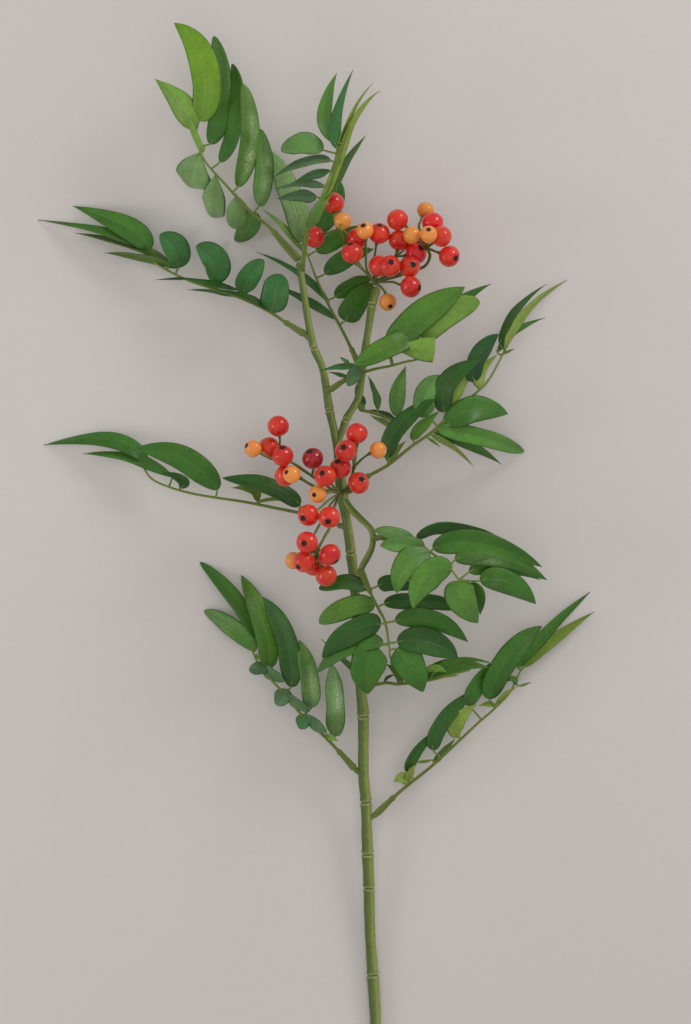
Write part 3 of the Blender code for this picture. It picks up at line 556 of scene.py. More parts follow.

# Each frond: its rachis, the rachis heights at start, middle and end, and its leaflets as base,
# middle, tip, seen width, roll in degrees, rise of the middle and the tip, then tone and outline,
# and where needed how far the blade leans to its right and how far its end hooks to its left,
# and a flag word that asks for painted highlight speckle on the seen face.
fronds = {}
fronds["frond_crown"] = {
    "rachis": [(296, 257), (283, 243), (270, 228), (247, 208), (225, 184), (205, 161), (195, 135)],
    "heights": (35.5, 40, 42),
    "leaflets": [
        ((193, 129), (181, 104), (155, 79), 24, 15, 3, 2, "light lance"),
        ((199, 121), (199, 70), (174, 23), 29, -12, 8, 6, "bright strap 0.22 0.12"),
        ((210, 144), (222, 96), (214, 36), 21, 12, 0, -5, "mid finger"),
        ((220, 162), (236, 115), (232, 64), 17, -35, 4, -4, "mid finger"),
        ((238, 187), (250, 137), (243, 84), 19, 25, 6, 8, "green finger glazed"),
        ((259, 206), (264, 170), (260, 129), 19, -25, 5, 6, "green finger glazed"),
        ((200, 152), (193, 171), (190, 187), 37, 10, -10, -28, "pale spade -0.08"),
        ((216, 173), (213, 197), (212, 217), 25, 20, -14, -36, "pale spade -0.12"),
        ((236, 194), (237, 212), (238, 229), 24, -12, -9, -26, "pale spade -0.1"),
        ((257, 213), (249, 228), (234, 239), 24, 12, -18, -37.8, "mid round 0.2"),
        ((204, 151), (197, 139), (189, 117), 7, 10, 1, 2, "light blunt")]}
fronds["frond_upper_left"] = {
    "rachis": [(301, 332), (285, 322), (270, 312), (250, 302), (225, 292), (190, 281),
               (160, 266), (140, 250)],
    "heights": (33.5, 22, 12),
    "leaflets": [
        ((148, 250), (128, 228), (73, 206), 24, 10, 1, -11.8, "mid lance"),
        ((141, 249), (105, 232), (38, 220), 10, 40, -1, -11.8, "mid long"),
        ((170, 262), (125, 244), (74, 233), 9, 55, -3, -8, "moss long"),
        ((178, 268), (140, 257), (104, 253), 8, -55, -2, -6, "moss long"),
        ((178, 268), (173, 250), (160, 234), 26, 10, 8, 8, "jade round 0.30"),
        ((211, 281), (212, 262), (196, 246), 27, -10, 8, 9, "jade round 0.30"),
        ((238, 290), (207, 283), (176, 277), 7, 60, 2, 1, "dark long"),
        ((190, 279), (172, 279), (155, 280), 3, 60, -4, -8, "dark long"),
        ((236, 297), (212, 291), (188, 290), 4, -60, -5, -9, "dark long"),
        ((244, 294), (249, 277), (264, 260), 22, 12, 6, 8, "jade round"),
        ((272, 312), (275, 293), (281, 274), 28, -8, 7, 6, "jade finger"),
        ((268, 309), (243, 296), (215, 290), 7, 60, 6, 4, "dark long")]}
fronds["frond_crown_front"] = {
    "rachis": [(303, 261), (306, 240), (309, 228), (318, 212), (331, 183), (340, 155), (350, 126)],
    "heights": (41, 54, 62),
    "leaflets": [
        ((309, 228), (317, 212), (330, 190), 12, 50, 5, 6, "sage lance"),
        ((325, 200), (343, 168), (366, 135), 12, -55, -3, -6, "green long"),
        ((333, 178), (348, 122), (373, 83), 5, 60, 1, -4, "lime long"),
        ((340, 163), (356, 117), (380, 91), 6, 55, -4, -10, "lime long"),
        ((337, 148), (336, 117), (353, 70), 12, 40, 4, 0, "jade long"),
        ((329, 140), (325, 108), (337, 73), 14, -40, 2, -6, "fresh lance"),
        ((323, 150), (303, 143), (281, 151), 22, 10, 3, -4, "sage round"),
        ((331, 161), (305, 162), (274, 177), 12, 45, -2, -6, "blue long"),
        ((330, 171), (312, 175), (291, 184), 8, -55, 2, 0, "blue long"),
        ((325, 187), (303, 184), (274, 189), 9, 55, 0, -4, "blue long"),
        ((317, 197), (298, 196), (277, 199), 12, -40, -4, -10, "blue long"),
        ((321, 208), (337, 166), (354, 116), 9, 5, 6, 10, "lime blunt")]}
fronds["frond_crown_back"] = {
    "rachis": [(356.5, 360), (350, 346), (341, 328), (329, 306), (317, 280), (308, 256), (303, 246)],
    "heights": (32.5, 19, 15),
    "leaflets": [
        ((316, 251), (338, 239), (361, 225), 18, 20, 0, -2, "mid lance"),
        ((325, 274), (347, 258), (374, 249), 19, 15, 0, -3, "mid lance"),
        ((335, 297), (353, 285), (376, 277), 15, 35, -1, -5, "mid lance"),
        ((345, 321), (356, 303), (373, 283), 24, 10, -2, -7, "mid strap"),
        ((329, 303), (298, 273), (256, 252), 8, 50, -5, -8, "jade long"),
        ((337, 320), (303, 299), (263, 280), 9, 50, -9, -14, "jade long"),
        ((303, 242), (291, 196), (269, 150), 24, 10, -3, -14.8, "pale strap"),
        ((318, 232), (331, 208), (339, 181), 22, -12, 0, -4, "mid round"),
        ((303, 252), (284, 228), (262, 209), 7, 55, 1, 2, "light long")]}
fronds["frond_upper_right"] = {
    "rachis": [(333, 388), (345, 380), (358, 374), (375, 369), (390, 366), (405, 362),
               (418, 359), (428, 352)],
    "heights": (39.5, 50, 56),
    "leaflets": [
        ((412, 336), (388, 347), (356, 364), 22, 20, 7, 6, "green blunt"),
        ((390, 351), (420, 317), (465, 287), 30, -10, 8, 6, "green strap"),
        ((425, 335), (455, 305), (491, 284), 14, 40, -8, -22, "mid long"),
        ((422, 338), (448, 312), (480, 303), 26, 20, 0, -8, "light blunt 0.0 0.05"),
        ((362, 368), (355, 374), (348, 386), 15, 10, 5, 4, "blue round"),
        ((357, 366), (340, 367), (318, 371), 7, 50, 4, 4, "jade long"),
        ((350, 367), (345, 361), (340, 357), 5, 45, 3, 2, "jade long"),
        ((347, 377), (338, 374), (328, 372), 4, -45, 4, 5, "jade long"),
        ((388, 348), (412, 349), (435, 350), 25, 13, 9, 9, "light fan")]}
fronds["frond_mid_right"] = {
    "rachis": [(353, 488), (365, 478), (388, 465), (412, 446), (432, 432), (450, 415),
               (470, 398), (488, 381), (505, 350)],
    "heights": (38.5, 42, 30),
    "leaflets": [
        ((505, 350), (524, 313), (567, 280), 10, 50, -8, -29.8, "lime long"),
        ((500, 345), (516, 311), (547, 284), 9, -50, -4, -14, "dark long"),
        ((497, 352), (515, 331), (545, 318), 8, 50, -9, -20, "mid long"),
        ((473, 382), (479, 355), (499, 334), 18, 15, 3, 0, "deep strap"),
        ((445, 412), (448, 382), (480, 360), 20, -15, 6, 6, "dark strap"),
        ((450, 407), (462, 384), (482, 362), 10, 45, -2, -6, "lime long"),
        ((479, 388), (481, 372), (497, 355), 12, 40, -4, -8, "lime long"),
        ((428, 416), (425, 395), (440, 375), 22, 10, 3, 2, "sage strap"),
        ((386, 458), (400, 425), (436, 399), 18, -25, 3, 4, "dark strap"),
        ((388, 463), (395, 452), (406, 441), 9, 45, -2, -4, "olive long"),
        ((413, 440), (422, 426), (440, 411), 12, 35, 4, 6, "green lance"),
        ((445, 425), (475, 409), (508, 414), 27, -10, 0, -14, "mid broad"),
        ((437, 429), (480, 437), (524, 452), 18, 10, -8, -38, "fresh finger"),
        ((433, 431), (470, 445), (501, 464), 11, 35, -12, -30, "mid long"),
        ((430, 434), (453, 447), (474, 467), 6, 50, -10, -24, "lime long"),
        ((427, 437), (434, 442), (440, 447), 3, 45, -3, -6, "olive long"),
        ((503, 354), (509, 351), (514, 349), 3, 20, 1, 1, "olive long")]}
fronds["frond_mid_left"] = {
    "rachis": [(335.5, 523.5), (320, 518), (300, 513), (275, 508), (245, 502), (190, 493),
               (155, 481), (143, 467)],
    "heights": (31.6, 21, 10),
    "leaflets": [
        ((146, 466), (115, 441), (44, 445), 17, 20, 1, -9.8, "mid lance"),
        ((172, 477), (130, 458), (83, 454), 12, 40, -2, -6, "mid long"),
        ((217, 490), (186, 460), (136, 448), 26, -10, 8, 6, "mid broad"),
        ((180, 488), (182, 480), (162, 472), 11, 35, 4, 3, "dark lance"),
        ((300, 505), (268, 486), (222, 478), 17, 25, 6, 2, "dark strap"),
        ((258, 501), (252, 490), (231, 488), 10, 40, 4, 2, "olive long"),
        ((256, 503), (275, 499), (298, 503), 4, 50, 3, 2, "olive long")]}
fronds["frond_fan_right"] = {
    "rachis": [(380, 537.5), (400, 542), (418, 547), (430, 552), (440, 559), (449, 567), (459, 580)],
    "heights": (53, 60, 64),
    "leaflets": [
        ((415, 543), (395, 534), (374, 530), 14, 20, 4, 2, "sage strap"),
        ((424, 549), (402, 544), (380, 546), 17, -15, 5, 5, "sage strap"),
        ((417, 538), (452, 528), (505, 542), 12, 45, -4, -18, "dark strap"),
        ((433, 549), (480, 543), (542, 567), 24, 15, 2, -12, "mid broad"),
        ((455, 560), (497, 557), (547, 580), 21, -15, -3, -20, "mid broad"),
        ((469, 572), (500, 566), (540, 580), 18, 25, -8, -26, "mid lance"),
        ((480, 581), (508, 582), (536, 604), 24, -10, -3, -16, "mid broad"),
        ((430, 552), (406, 565), (397, 593), 27, 12, 6, 4, "fresh heart"),
        ((452, 570), (427, 577), (413, 609), 29, -12, 5, 2, "fresh broad"),
        ((459, 581), (462, 600), (478, 623), 31, 8, 2, -6, "fresh heart"),
        ((470, 583), (478, 595), (480, 615), 14, 35, -4, -12, "mid lance")]}
fronds["frond_fan_centre"] = {
    "rachis": [(361.3, 572.5), (370, 592), (378, 608), (385, 622), (389, 645), (390, 658)],
    "heights": (47, 50, 51),
    "leaflets": [
        ((367, 589), (345, 582), (319, 589), 15, 30, 1, -2, "dark finger"),
        ((375, 604), (347, 608), (319, 623), 21, 15, 3, -1, "green finger"),
        ((381, 624), (352, 632), (322, 658), 24, -12, 4, -2, "dark strap"),
        ((383, 644), (350, 645), (316, 674), 20, 20, 0, -6, "mid broad"),
        ((376, 646), (367, 668), (368, 694), 36, 8, 4, -3, "mid heart"),
        ((396, 649), (411, 666), (423, 692), 32, -8, 2, -6, "mid heart"),
        ((378, 586), (393, 583), (413, 588), 16, 20, -3, -6, "dark finger"),
        ((384, 604), (420, 601), (460, 608), 16, -20, -5, -9, "dark finger"),
        ((395, 621), (432, 620), (468, 642), 21, 15, -3, -9, "mid broad"),
        ((397, 642), (430, 642), (458, 659), 27, -10, 1, -6, "dark broad")]}
fronds["frond_side_small"] = {
    "rachis": [(370, 686), (385, 683), (400, 684), (430, 680), (450, 675), (470, 670)],
    "heights": (28.2, 33, 35),
    "leaflets": [
        ((400, 684), (398, 674), (386, 664), 9, 30, 2, 2, "green lance"),
        ((385, 683), (388, 677), (396, 675), 4, 45, 3, 3, "dark long"),
        ((430, 680), (455, 660), (497, 665), 7, 50, 3, 4, "green long"),
        ((420, 682), (450, 666), (490, 668), 16, 30, 0, 0, "green lance"),
        ((426, 672), (436, 668), (446, 672), 9, 20, 4, 5, "light lance"),
        ((430, 680), (445, 676), (460, 676), 4, 45, -3, -5, "lime long"),
        ((370, 684), (348, 664), (321, 639), 7, 40, -17, -16, "mid long")]}
fronds["frond_base_right"] = {
    "rachis": [(379.5, 811), (395, 796), (408, 785), (433, 765), (462, 738), (478, 723),
               (494, 709), (510, 692), (521, 670)],
    "heights": (14.2, 22, 15),
    "leaflets": [
        ((518, 668), (546, 633), (590, 592), 13, 30, -2, -14.8, "mid lance"),
        ((524, 667), (553, 640), (594, 612), 12, -30, -4, -11, "olive lance"),
        ((489, 699), (508, 658), (542, 626), 24, 10, 5, -6, "mid strap"),
        ((470, 706), (480, 682), (505, 660), 17, 20, 1, -8, "mid strap"),
        ((433, 750), (443, 722), (475, 690), 16, -15, 5, 0, "dark strap"),
        ((408, 772), (417, 752), (437, 731), 11, 25, 3, 0, "dark strap"),
        ((459, 737), (457, 722), (477, 704), 17, 10, 3, 5, "lime lance"),
        ((494, 707), (488, 704), (479, 706), 6, 45, -2, -4, "lime long"),
        ((496, 704), (505, 694), (517, 687), 6, 45, 3, 4, "lime long"),
        ((433, 762), (443, 752), (455, 739), 9, 45, -4, -8, "moss long"),
        ((432, 760), (421, 762), (416, 760), 3, 45, -2, -4, "olive long"),
        ((409, 783), (402, 778), (394, 782), 12, 20, 3, 3, "lime lance"),
        ((408, 782), (410, 773), (415, 765), 8, 40, 3, 4, "lime lance"),
        ((517, 684), (512, 679), (506, 682), 7, 30, 3, 3, "mid long"),
        ((519, 686), (526, 684), (531, 682), 3, 45, -1, -2, "olive long")]}
fronds["frond_base_left"] = {
    "rachis": [(352, 766), (345, 758), (325, 737), (312, 725), (300, 713), (288, 698),
               (268, 676), (258, 663), (252, 650)],
    "heights": (17.6, 21, 14),
    "leaflets": [
        ((256, 638), (236, 600), (200, 562), 16, 15, -2, -13.8, "mid round"),
        ((256, 650), (233, 628), (204, 611), 19, -10, -3, -13.8, "fresh round"),
        ((270, 668), (263, 622), (241, 575), 22, 25, 3, -6, "green strap"),
        ((291, 687), (286, 640), (263, 597), 22, -15, 5, 0, "dark strap"),
        ((311, 708), (309, 675), (299, 640), 19, 20, 4, 3, "sage strap glazed"),
        ((335, 736), (335, 700), (331, 662), 19, -25, 3, 0, "sage strap glazed"),
        ((268, 667), (259, 668), (249, 670), 13, 20, 2, 1, "blue round"),
        ((262, 667), (273, 675), (285, 681), 12, 35, 3, 4, "blue strap"),
        ((287, 689), (282, 697), (275, 704), 17, 15, 1, -1, "blue round"),
        ((286, 697), (298, 704), (309, 712), 11, 45, 4, 5, "blue strap"),
        ((306, 714), (303, 721), (300, 729), 15, 20, 1, 0, "jade round"),
        ((304, 718), (316, 725), (327, 733), 12, 45, 4, 5, "blue strap"),
        ((326, 735), (332, 738), (338, 741), 6, 30, 3, 4, "light long"),
        ((255, 655), (262, 658), (268, 661), 6, 30, 2.5, 4, "light long")]}
fronds["frond_hidden_small"] = {
    "rachis": [(363.5, 410.5), (370, 412), (382, 416), (395, 422), (405, 428)],
    "heights": (31, 25, 22),
    "leaflets": [
        ((397, 416), (398, 392), (406, 366), 16, 20, 2, 1, "sage lance"),
        ((378, 410), (375, 393), (368, 376), 8, 50, 0, -2, "mid long"),
        ((364, 406), (359, 396), (356, 384), 9, 30, -6, -9, "dark long"),
        ((395, 421), (380, 413), (366, 411), 7, 50, -5, -8, "dark long"),
        ((393, 424), (382, 421), (370, 415), 6, -45, -6, -9, "olive long")]}

rachisLook = {
    # the pods where a rachis plugs on: length, radius
    "pods": {"frond_upper_left": (0.013, 0.0022), "frond_crown_back": (0.010, 0.0020),
             "frond_upper_right": (0.012, 0.0020), "frond_mid_right": (0.014, 0.0022),
             "frond_base_right": (0.014, 0.0022), "frond_base_left": (0.014, 0.0022),
             "frond_crown": (0.022, 0.0026), "frond_fan_centre": (0.014, 0.0024),
             "frond_crown_front": (0.018, 0.0016), "frond_mid_left": (0.005, 0.0016),
             "frond_fan_right": (0.004, 0.0015)},
    "podReach": 1.12, "podFullness": 0.55, "podMouth": 0.0022, "podMouthShare": 0.55,
    "podRim": 0.0005, "podRimWidth": 0.0011, "plug": 0.0024, "step": 0.0008, "sides": 12,
    "radius": 0.0011, "tipRadius": 0.0006, "socketLength": 0.006,
    "topGroove": (-0.14, math.pi / 2, 0.35), "grooveShade": (-0.30, math.pi / 2, 0.4),
    "socket": linear(112, 130, 58), "run": linear(110, 130, 48), "tip": linear(130, 154, 64)}


def rachisPath(frond):
    # the points at heights on a parabola, the first one pushed back to where the stem holds it
    flat = np.asarray(frond["rachis"], float)
    share = distanceAlong(flat)
    share = share / share[-1]
    points = place(np.column_stack([flat, quadratic(share, *frond["heights"])]))
    points[0] = points[0] - unit(points[1] - points[0]) * rachisLook["plug"]
    return smoothPath(points, rachisLook["step"])


def rachisPart(name, path, travelled):
    # a leaf stalk: a swollen pod with a rim where it plugs on, then a thin tapering tube,
    # grooved along its top, with painted shade in the groove
    look = rachisLook
    pod, podRadius = look["pods"].get(name, (0.0, 0.0))
    share = travelled / travelled[-1]
    radii = look["radius"] + (look["tipRadius"] - look["radius"]) * share
    if pod:
        mouth = np.clip(travelled / look["podMouth"] + look["podMouthShare"], 0, 1)
        bulge = np.clip(look["podReach"] - travelled / pod, 0, 1) ** look["podFullness"] * mouth
        radii = radii + (podRadius - look["radius"]) * bulge
        radii = radii + hump(travelled, look["podRim"], pod, look["podRimWidth"])
    past = ramp(travelled, 0, max(pod, look["socketLength"]))[:, None, None]
    late = ramp(share, 0.5, 0.5)[:, None, None]
    tone = blend(blend(look["socket"], look["run"], past), look["tip"], late)
    # painted shade darkens the groove along the top
    groove = 1 + hump(ringAngles(look["sides"]), *look["grooveShade"])
    return sweep(path, radii, look["sides"], tone * groove[None, :, None],
                 shape=lambda angle: 1 + hump(angle, *look["topGroove"]))


petioluleLook = {"radius": 0.0006, "thicker": 1.15, "thinner": 0.7, "reach": 0.0035, "step": 0.0007,
                 "sides": 8, "tone": linear(112, 138, 58)}


def petiolulePart(root, base, along):
    # a leaflet's own short stalk, a thinning tube from the rachis into the blade's base
    look = petioluleLook
    bend, _, _ = smoothPath([root, base, base + along * look["reach"]], look["step"])
    radii = np.linspace(look["thicker"], look["thinner"], len(bend)) * look["radius"]
    return sweep(bend, radii, look["sides"], look["tone"])


bladeLook = {
    "rows": 30, "cells": 14,  # along the blade, and across each face
    "thickness": 0.00032, "thinBelow": 0.0022, "rib": (0.00025, 0, 0.16), "leastHalf": 0.0003,
    "narrowShift": 0.03, "twist": 5,  # either way, the twist in degrees
    "foldPower": 1.3, "foldDrop": 0.35, "edgeDroop": 0.10,
    "edgeWave": 0.09, "waveBeats": (1.0, 2.0), "waveSkew": 1.6,
    "scallop": 0.025, "scallopRate": 9, "scallopSkew": 3,
    "baseOverlap": 0.0002, "veinShift": 9,  # the side veins start up to 9 cm further on
    # the halves' contrast is painted light on one half of a blade and painted shade on the other
    "brightness": (0.95, 1.06), "halfContrast": 0.12, "halfEdge": 0.15,
    "baseShade": 0.16, "middleLight": 0.06, "tipShade": 0.06, "rimShade": 0.22, "rimPower": 14,
    # where the painted highlight speckle lies along and across the blade
    "paintedSheenAt": 0.42, "paintedSheenLength": 0.30, "paintedSheenSide": 0.25, "paintedSheenReach": 1.1}


def bladeHalfWidth(share, full, fullAt, swell, narrowAt, power, ending):
    # full * (1 - (1 - share / fullAt) ** 2) ** swell up to the widest place, and further on also
    # times (1 - distance ** power) ** ending
    shift = chance.uniform(-bladeLook["narrowShift"], bladeLook["narrowShift"])
    rise = np.clip(1 - (1 - np.minimum(share / fullAt, 1)) ** 2, 0, 1) ** swell
    narrowing = np.clip((share - narrowAt - shift) / (1 - narrowAt - shift), 0, 1)
    return np.maximum(full * rise * (1 - narrowing ** power) ** ending, bladeLook["leastHalf"])


def bladeTone(column, across, face, tone, paintedSheen):
    # painted shade at the base, the tip and the rim, painted light in the middle, one half painted
    # lighter than the other, and painted highlight speckle near the middle where it is asked for
    look = bladeLook
    seen, other = tones[tone]
    brighter = chance.uniform(*look["brightness"])
    # painted light and painted shade: one half of the blade lighter than the other, as on a folded blade
    # lit from one side
    contrast = chance.uniform(-look["halfContrast"], look["halfContrast"])
    halves = 1 + contrast * np.clip(across / look["halfEdge"], -1, 1)
    length = (1 - look["baseShade"] * (1 - column) ** 3 + look["middleLight"] * np.sin(math.pi * column)
              - look["tipShade"] * column ** 4)
    shade = brighter * halves * length * (1 - look["rimShade"] * np.abs(across) ** look["rimPower"])
    side = face[:, None]
    tint = np.where(side > 0, seen, np.where(side < 0, other, (seen + other) / 2))
    # painted highlight: the share of pale speckle, most near the middle of the blade and to one side of
    # the midrib
    glazed = hump(column, paintedSheen, look["paintedSheenAt"], look["paintedSheenLength"])
    glazed = glazed * np.clip(look["paintedSheenReach"] - np.abs(across - look["paintedSheenSide"]), 0, 1) ** 2
    return np.concatenate([tint[None, :, :3] * shade[..., None], (glazed * (face > 0))[..., None]], -1)


def leafBlade(base, middle, tip, seenWidth, roll, tone, outline, lean, hook, paintedSheen):
    # midrib: the parabola through base, middle and tip, pushed aside before a hooked tip.
    # Section: both halves folded up from the midrib, waved towards the edge, with a lens-shaped
    # thickness and a raised rib. Each point is midrib + sideways * out + upwards * lift.
    look = bladeLook
    share = (1 - np.cos(math.pi * (np.arange(look["rows"]) + 0.5) / look["rows"])) / 2
    column = share[:, None]
    full = seenWidth * sheet["unit"] / 2 / math.cos(math.radians(roll))
    fold, *widths = outlines[outline]
    half = bladeHalfWidth(share, full, *widths)[:, None]
    along = unit(base * (4 * column - 3) + middle * (4 - 8 * column) + tip * (4 * column - 1))
    level = unit(np.cross(along, upward))
    over = np.cross(level, along)
    turn = np.radians(roll + chance.uniform(-look["twist"], look["twist"]) * (column - 0.5) * 2)
    side = level * np.cos(turn) - over * np.sin(turn)
    up = over * np.cos(turn) + level * np.sin(turn)
    hookScale = 27 / 4  # makes column ** 2 * (1 - column) peak at 1
    pushed = full * 2 * (hook * hookScale * column ** 2 * (1 - column))
    midrib = quadratic(column, base, middle, tip) + side * pushed
    cells = look["cells"]
    ring = np.arange(2 * cells)  # over the seen face from right to left, and back under it
    across = np.where(ring <= cells, 1 - 2 * ring / cells, 2 * ring / cells - 3)
    face = np.where(ring % cells == 0, 0, np.where(ring < cells, 1, -1))
    onRight = across > 0
    beat = chance.uniform(*look["waveBeats"])
    start = chance.uniform(0, phaseSpan)
    wave = np.sin(2 * math.pi * beat * column + start + look["waveSkew"] * onRight)
    bowl = (fold * (np.abs(across) ** look["foldPower"] - look["foldDrop"])
            - look["edgeDroop"] * across ** 4 + look["edgeWave"] * wave * across ** 2)
    lens = look["thickness"] * np.sqrt(np.clip(1 - across ** 4, 0, 1)) + hump(across, *look["rib"])
    lift = half * bowl + face * lens * np.minimum(1, half / look["thinBelow"])
    scallop = np.sin(look["scallopRate"] * column + start + look["scallopSkew"] * onRight)
    out = half * across * (1 + lean * np.sign(across)) * (1 + look["scallop"] * scallop)
    rows = midrib[:, None] + side[:, None] * out[..., None] + up[:, None] * lift[..., None]
    tint = bladeTone(column, across, face, tone, paintedSheen)
    length = distanceAlong(midrib) * centimetresInMetre + chance.uniform(0, look["veinShift"])
    return closedGrid(rows, base - along[0] * look["baseOverlap"], tip, length,
                      np.append(across, 1.0) / 2 + 0.5, tint)


def buildFrond(name, frond):
    # a leaflet springs from the nearest point of the rachis and starts at that point's height
    path, _, travelled = rachisPath(frond)
    stalks = [rachisPart(name, path, travelled)]
    blades = []
    for base, middle, tip, seenWidth, roll, riseMiddle, riseTip, words in frond["leaflets"]:
        tone, outline, *more = words.split()
        # the flag word asks for painted highlight speckle on the blade
        paintedSheen = float("glazed" in more)
        lean, hook = ([float(word) for word in more if word != "glazed"] + [0.0, 0.0])[:2]
        guess = place((*base, frond["heights"][1]))
        root = path[np.argmin(np.linalg.norm((path - guess)[:, :2], axis=1))]
        level = root[2] / millimetre
        base = place((*base, level))
        middle = place((*middle, level + riseMiddle))
        tip = place((*tip, level + riseTip))
        blades.append(leafBlade(base, middle, tip, seenWidth, roll, tone, outline, lean, hook, paintedSheen))
        stalks.append(petiolulePart(root, base, unit(4 * middle - 3 * base - tip)))
    makePiece(name.replace("frond", "leaves"), blades, [leafSatin], name)
    makePiece(name.replace("frond", "rachis"), stalks, [rachisWax], name)


for frondName, frondShape in fronds.items():
    buildFrond(frondName, frondShape)
print("fronds built")

# An umbel's hub, its side knots and its arms, all as u, v, height. Its berries: centre, height,
# colour, the stalk's points, and where the calyx is seen on the sheet, or None if it is turned away.
upperHub = (375, 282, 35)
upperLeft = (345, 243, 34)
upperMiddle = (396, 256, 34)
upperRight = (427, 248, 36)
upperUmbel = {
    "hub": upperHub, "knots": [upperLeft, upperMiddle, upperRight],
    "arms": [
        [upperHub, (362, 268, 32), (352, 254, 29), upperLeft],
        [upperHub, (393, 271, 31), upperMiddle],
        [upperHub, (395, 277, 32), (412, 271, 30), (425, 266, 30), (430, 256, 33), upperRight]],
    "berries": [
        (333.6, 203.0, 34, "red", [upperLeft, (338, 230, 36), (334, 217, 35)], None),
        (342.5, 221.0, 42, "orange", [upperLeft, (342, 236, 42), (340, 229, 49)], None),
        (314.4, 237.0, 30, "red", [upperLeft, (347, 234, 32), (338, 230, 31), (327, 233, 31)], None),
        (357.4, 238.6, 34, "red", [(352, 254, 29), (355, 250, 30.5)], None),
        (364.9, 230.5, 46, "orange", [upperHub, (367, 270, 35), (366, 255, 38), (366, 244, 42)],
         (363, 225.6)),
        (379.2, 233.4, 38, "red", [upperHub, (374, 265, 30), (376, 247, 35)], (379.6, 225.2)),
        (352.2, 252.9, 44, "red", [upperHub, (361, 268, 38), (356, 264, 41)], (350, 243.6)),
        (379.2, 266.0, 40, "red", [upperHub, (376, 279, 36)], None),
        (390.0, 266.0, 52, "red", [upperHub, (388, 277, 38), (391, 273, 43)], (391, 262.6)),
        (409.6, 266.7, 46, "red", [(395, 277, 32), (403, 271, 37)], (413.4, 265.0)),
        (397.6, 219.6, 40, "red", [upperRight, (414, 237, 35), (407, 227, 38)], None),
        (399.3, 240.3, 36, "red", [upperMiddle, (397, 252, 34)], None),
        (411.9, 235.1, 46, "orange", [upperMiddle, (404, 250, 27), (409, 241, 28), (411, 237, 38)], None),
        (425.7, 210.4, 28, "orange", [upperRight, (424, 240, 36), (419, 227, 34), (421, 220, 31)], None),
        (432.6, 222.5, 37, "red", [upperRight, (430, 236, 34)], None),
        (428.6, 234.5, 55, "orange", [upperRight, (428, 243, 42), (428, 238, 47)], (428.4, 229.8)),
        (441.2, 236.3, 46, "red", [upperRight, (433, 243, 41)], None),
        (449.3, 256.3, 42, "red", [upperRight, (437, 252, 39)], (456, 259)),
        (416.0, 253.5, 36, "red", [upperMiddle, (403, 256, 34)], (421, 248)),
        (419.4, 242.0, 24, "red", [upperRight, (426, 247, 33)], None),
        (410.8, 286.8, 50, "red", [upperHub, (392, 282, 40), (398, 284, 46)], (420.2, 288)),
        (387.8, 302.3, 40, "orange", [upperHub, (382, 288, 37), (385, 292, 38.5)], (390.5, 307.2))]}
lowerHub = (341, 493, 42)
lowerLeft = (279, 455, 46)
lowerFork = (300, 478, 48)
lowerTurn = (354, 467, 55)
lowerTip = (318, 549, 60)
lowerUmbel = {
    "hub": lowerHub, "knots": [lowerLeft, lowerFork, lowerTurn, lowerTip],
    "arms": [
        [lowerHub, (330, 488, 43), (312, 476, 45), (293, 463, 46), lowerLeft],
        [lowerHub, (318, 488, 45), lowerFork],
        [lowerHub, (350, 483, 49), lowerTurn],
        [lowerHub, (334, 508, 48), (331, 525, 54), (324, 538, 58), lowerTip]],
    "berries": [
        (278.2, 426.1, 56, "red", [lowerLeft, (280, 441, 51)], None),
        (268.8, 447.5, 50, "red", [lowerLeft, (277.5, 454, 46.4)], None),
        (253.0, 448.5, 58, "orange", [lowerLeft, (276, 459, 49), (271, 459, 55), (263, 454, 58.4)],
         (246, 445.4)),
        (282.7, 455.7, 60, "red", [lowerLeft, (284, 459, 49)], (282.5, 447)),
        (285.1, 475.7, 54, "red", [lowerFork, (298, 478, 49)], None),
        (291.8, 474.5, 66, "orange", [lowerFork, (298, 477, 56)], (286, 472)),
        (312.8, 458.4, 56, "deep", [(312, 476, 45), (314, 467, 48)], (309.6, 451)),
        (325.1, 476.1, 68, "red", [lowerHub, (332, 485, 50), (328, 480, 58)], (322, 473)),
        (340.3, 467.9, 58, "red", [lowerHub, (341, 483, 47)], (337.5, 461)),
        (346.1, 450.7, 68, "red", [lowerTurn, (353, 459, 61)], (343.3, 447.0)),
        (356.6, 433.6, 60, "red", [lowerTurn, (357, 448, 57)], None),
        (378.1, 450.0, 60, "orange", [lowerTurn, (362, 459, 57.5), (369, 454, 59)], None),
        (358.7, 482.9, 60, "red", [lowerHub, (350, 489, 49)], (362, 478.8)),
        (317.7, 494.2, 64, "orange", [lowerHub, (332, 492, 52), (328, 493, 57)], (313.8, 495)),
        (308.2, 515.1, 64, "red", [lowerHub, (330, 499, 50), (320, 508, 57)], (302.6, 518.5)),
        (329.4, 517.2, 68, "red", [lowerHub, (338, 500, 48), (334, 508, 57)], (328, 522)),
        (307.1, 542.4, 72, "red",
         [lowerHub, (330, 505, 48), (322, 520, 54), (315, 533, 59), (313, 536, 63)], (303.9, 543.2)),
        (330.0, 554.5, 68, "red", [lowerTip, (320.5, 550.5, 61.5)], (336.6, 562.6)),
        (293.6, 560.6, 54, "orange", [lowerTip, (311, 553, 56.5), (302, 556.5, 54)], None),
        (303.9, 561.8, 66, "red", [lowerTip, (314, 555, 60.5)], (297.7, 567.4)),
        (313.6, 565.4, 53, "red", [lowerTip, (317, 556, 57)], None),
        (326.1, 575.7, 63, "red", [lowerTip, (318.5, 560, 62.5), (320, 565, 62.5)], None)]}

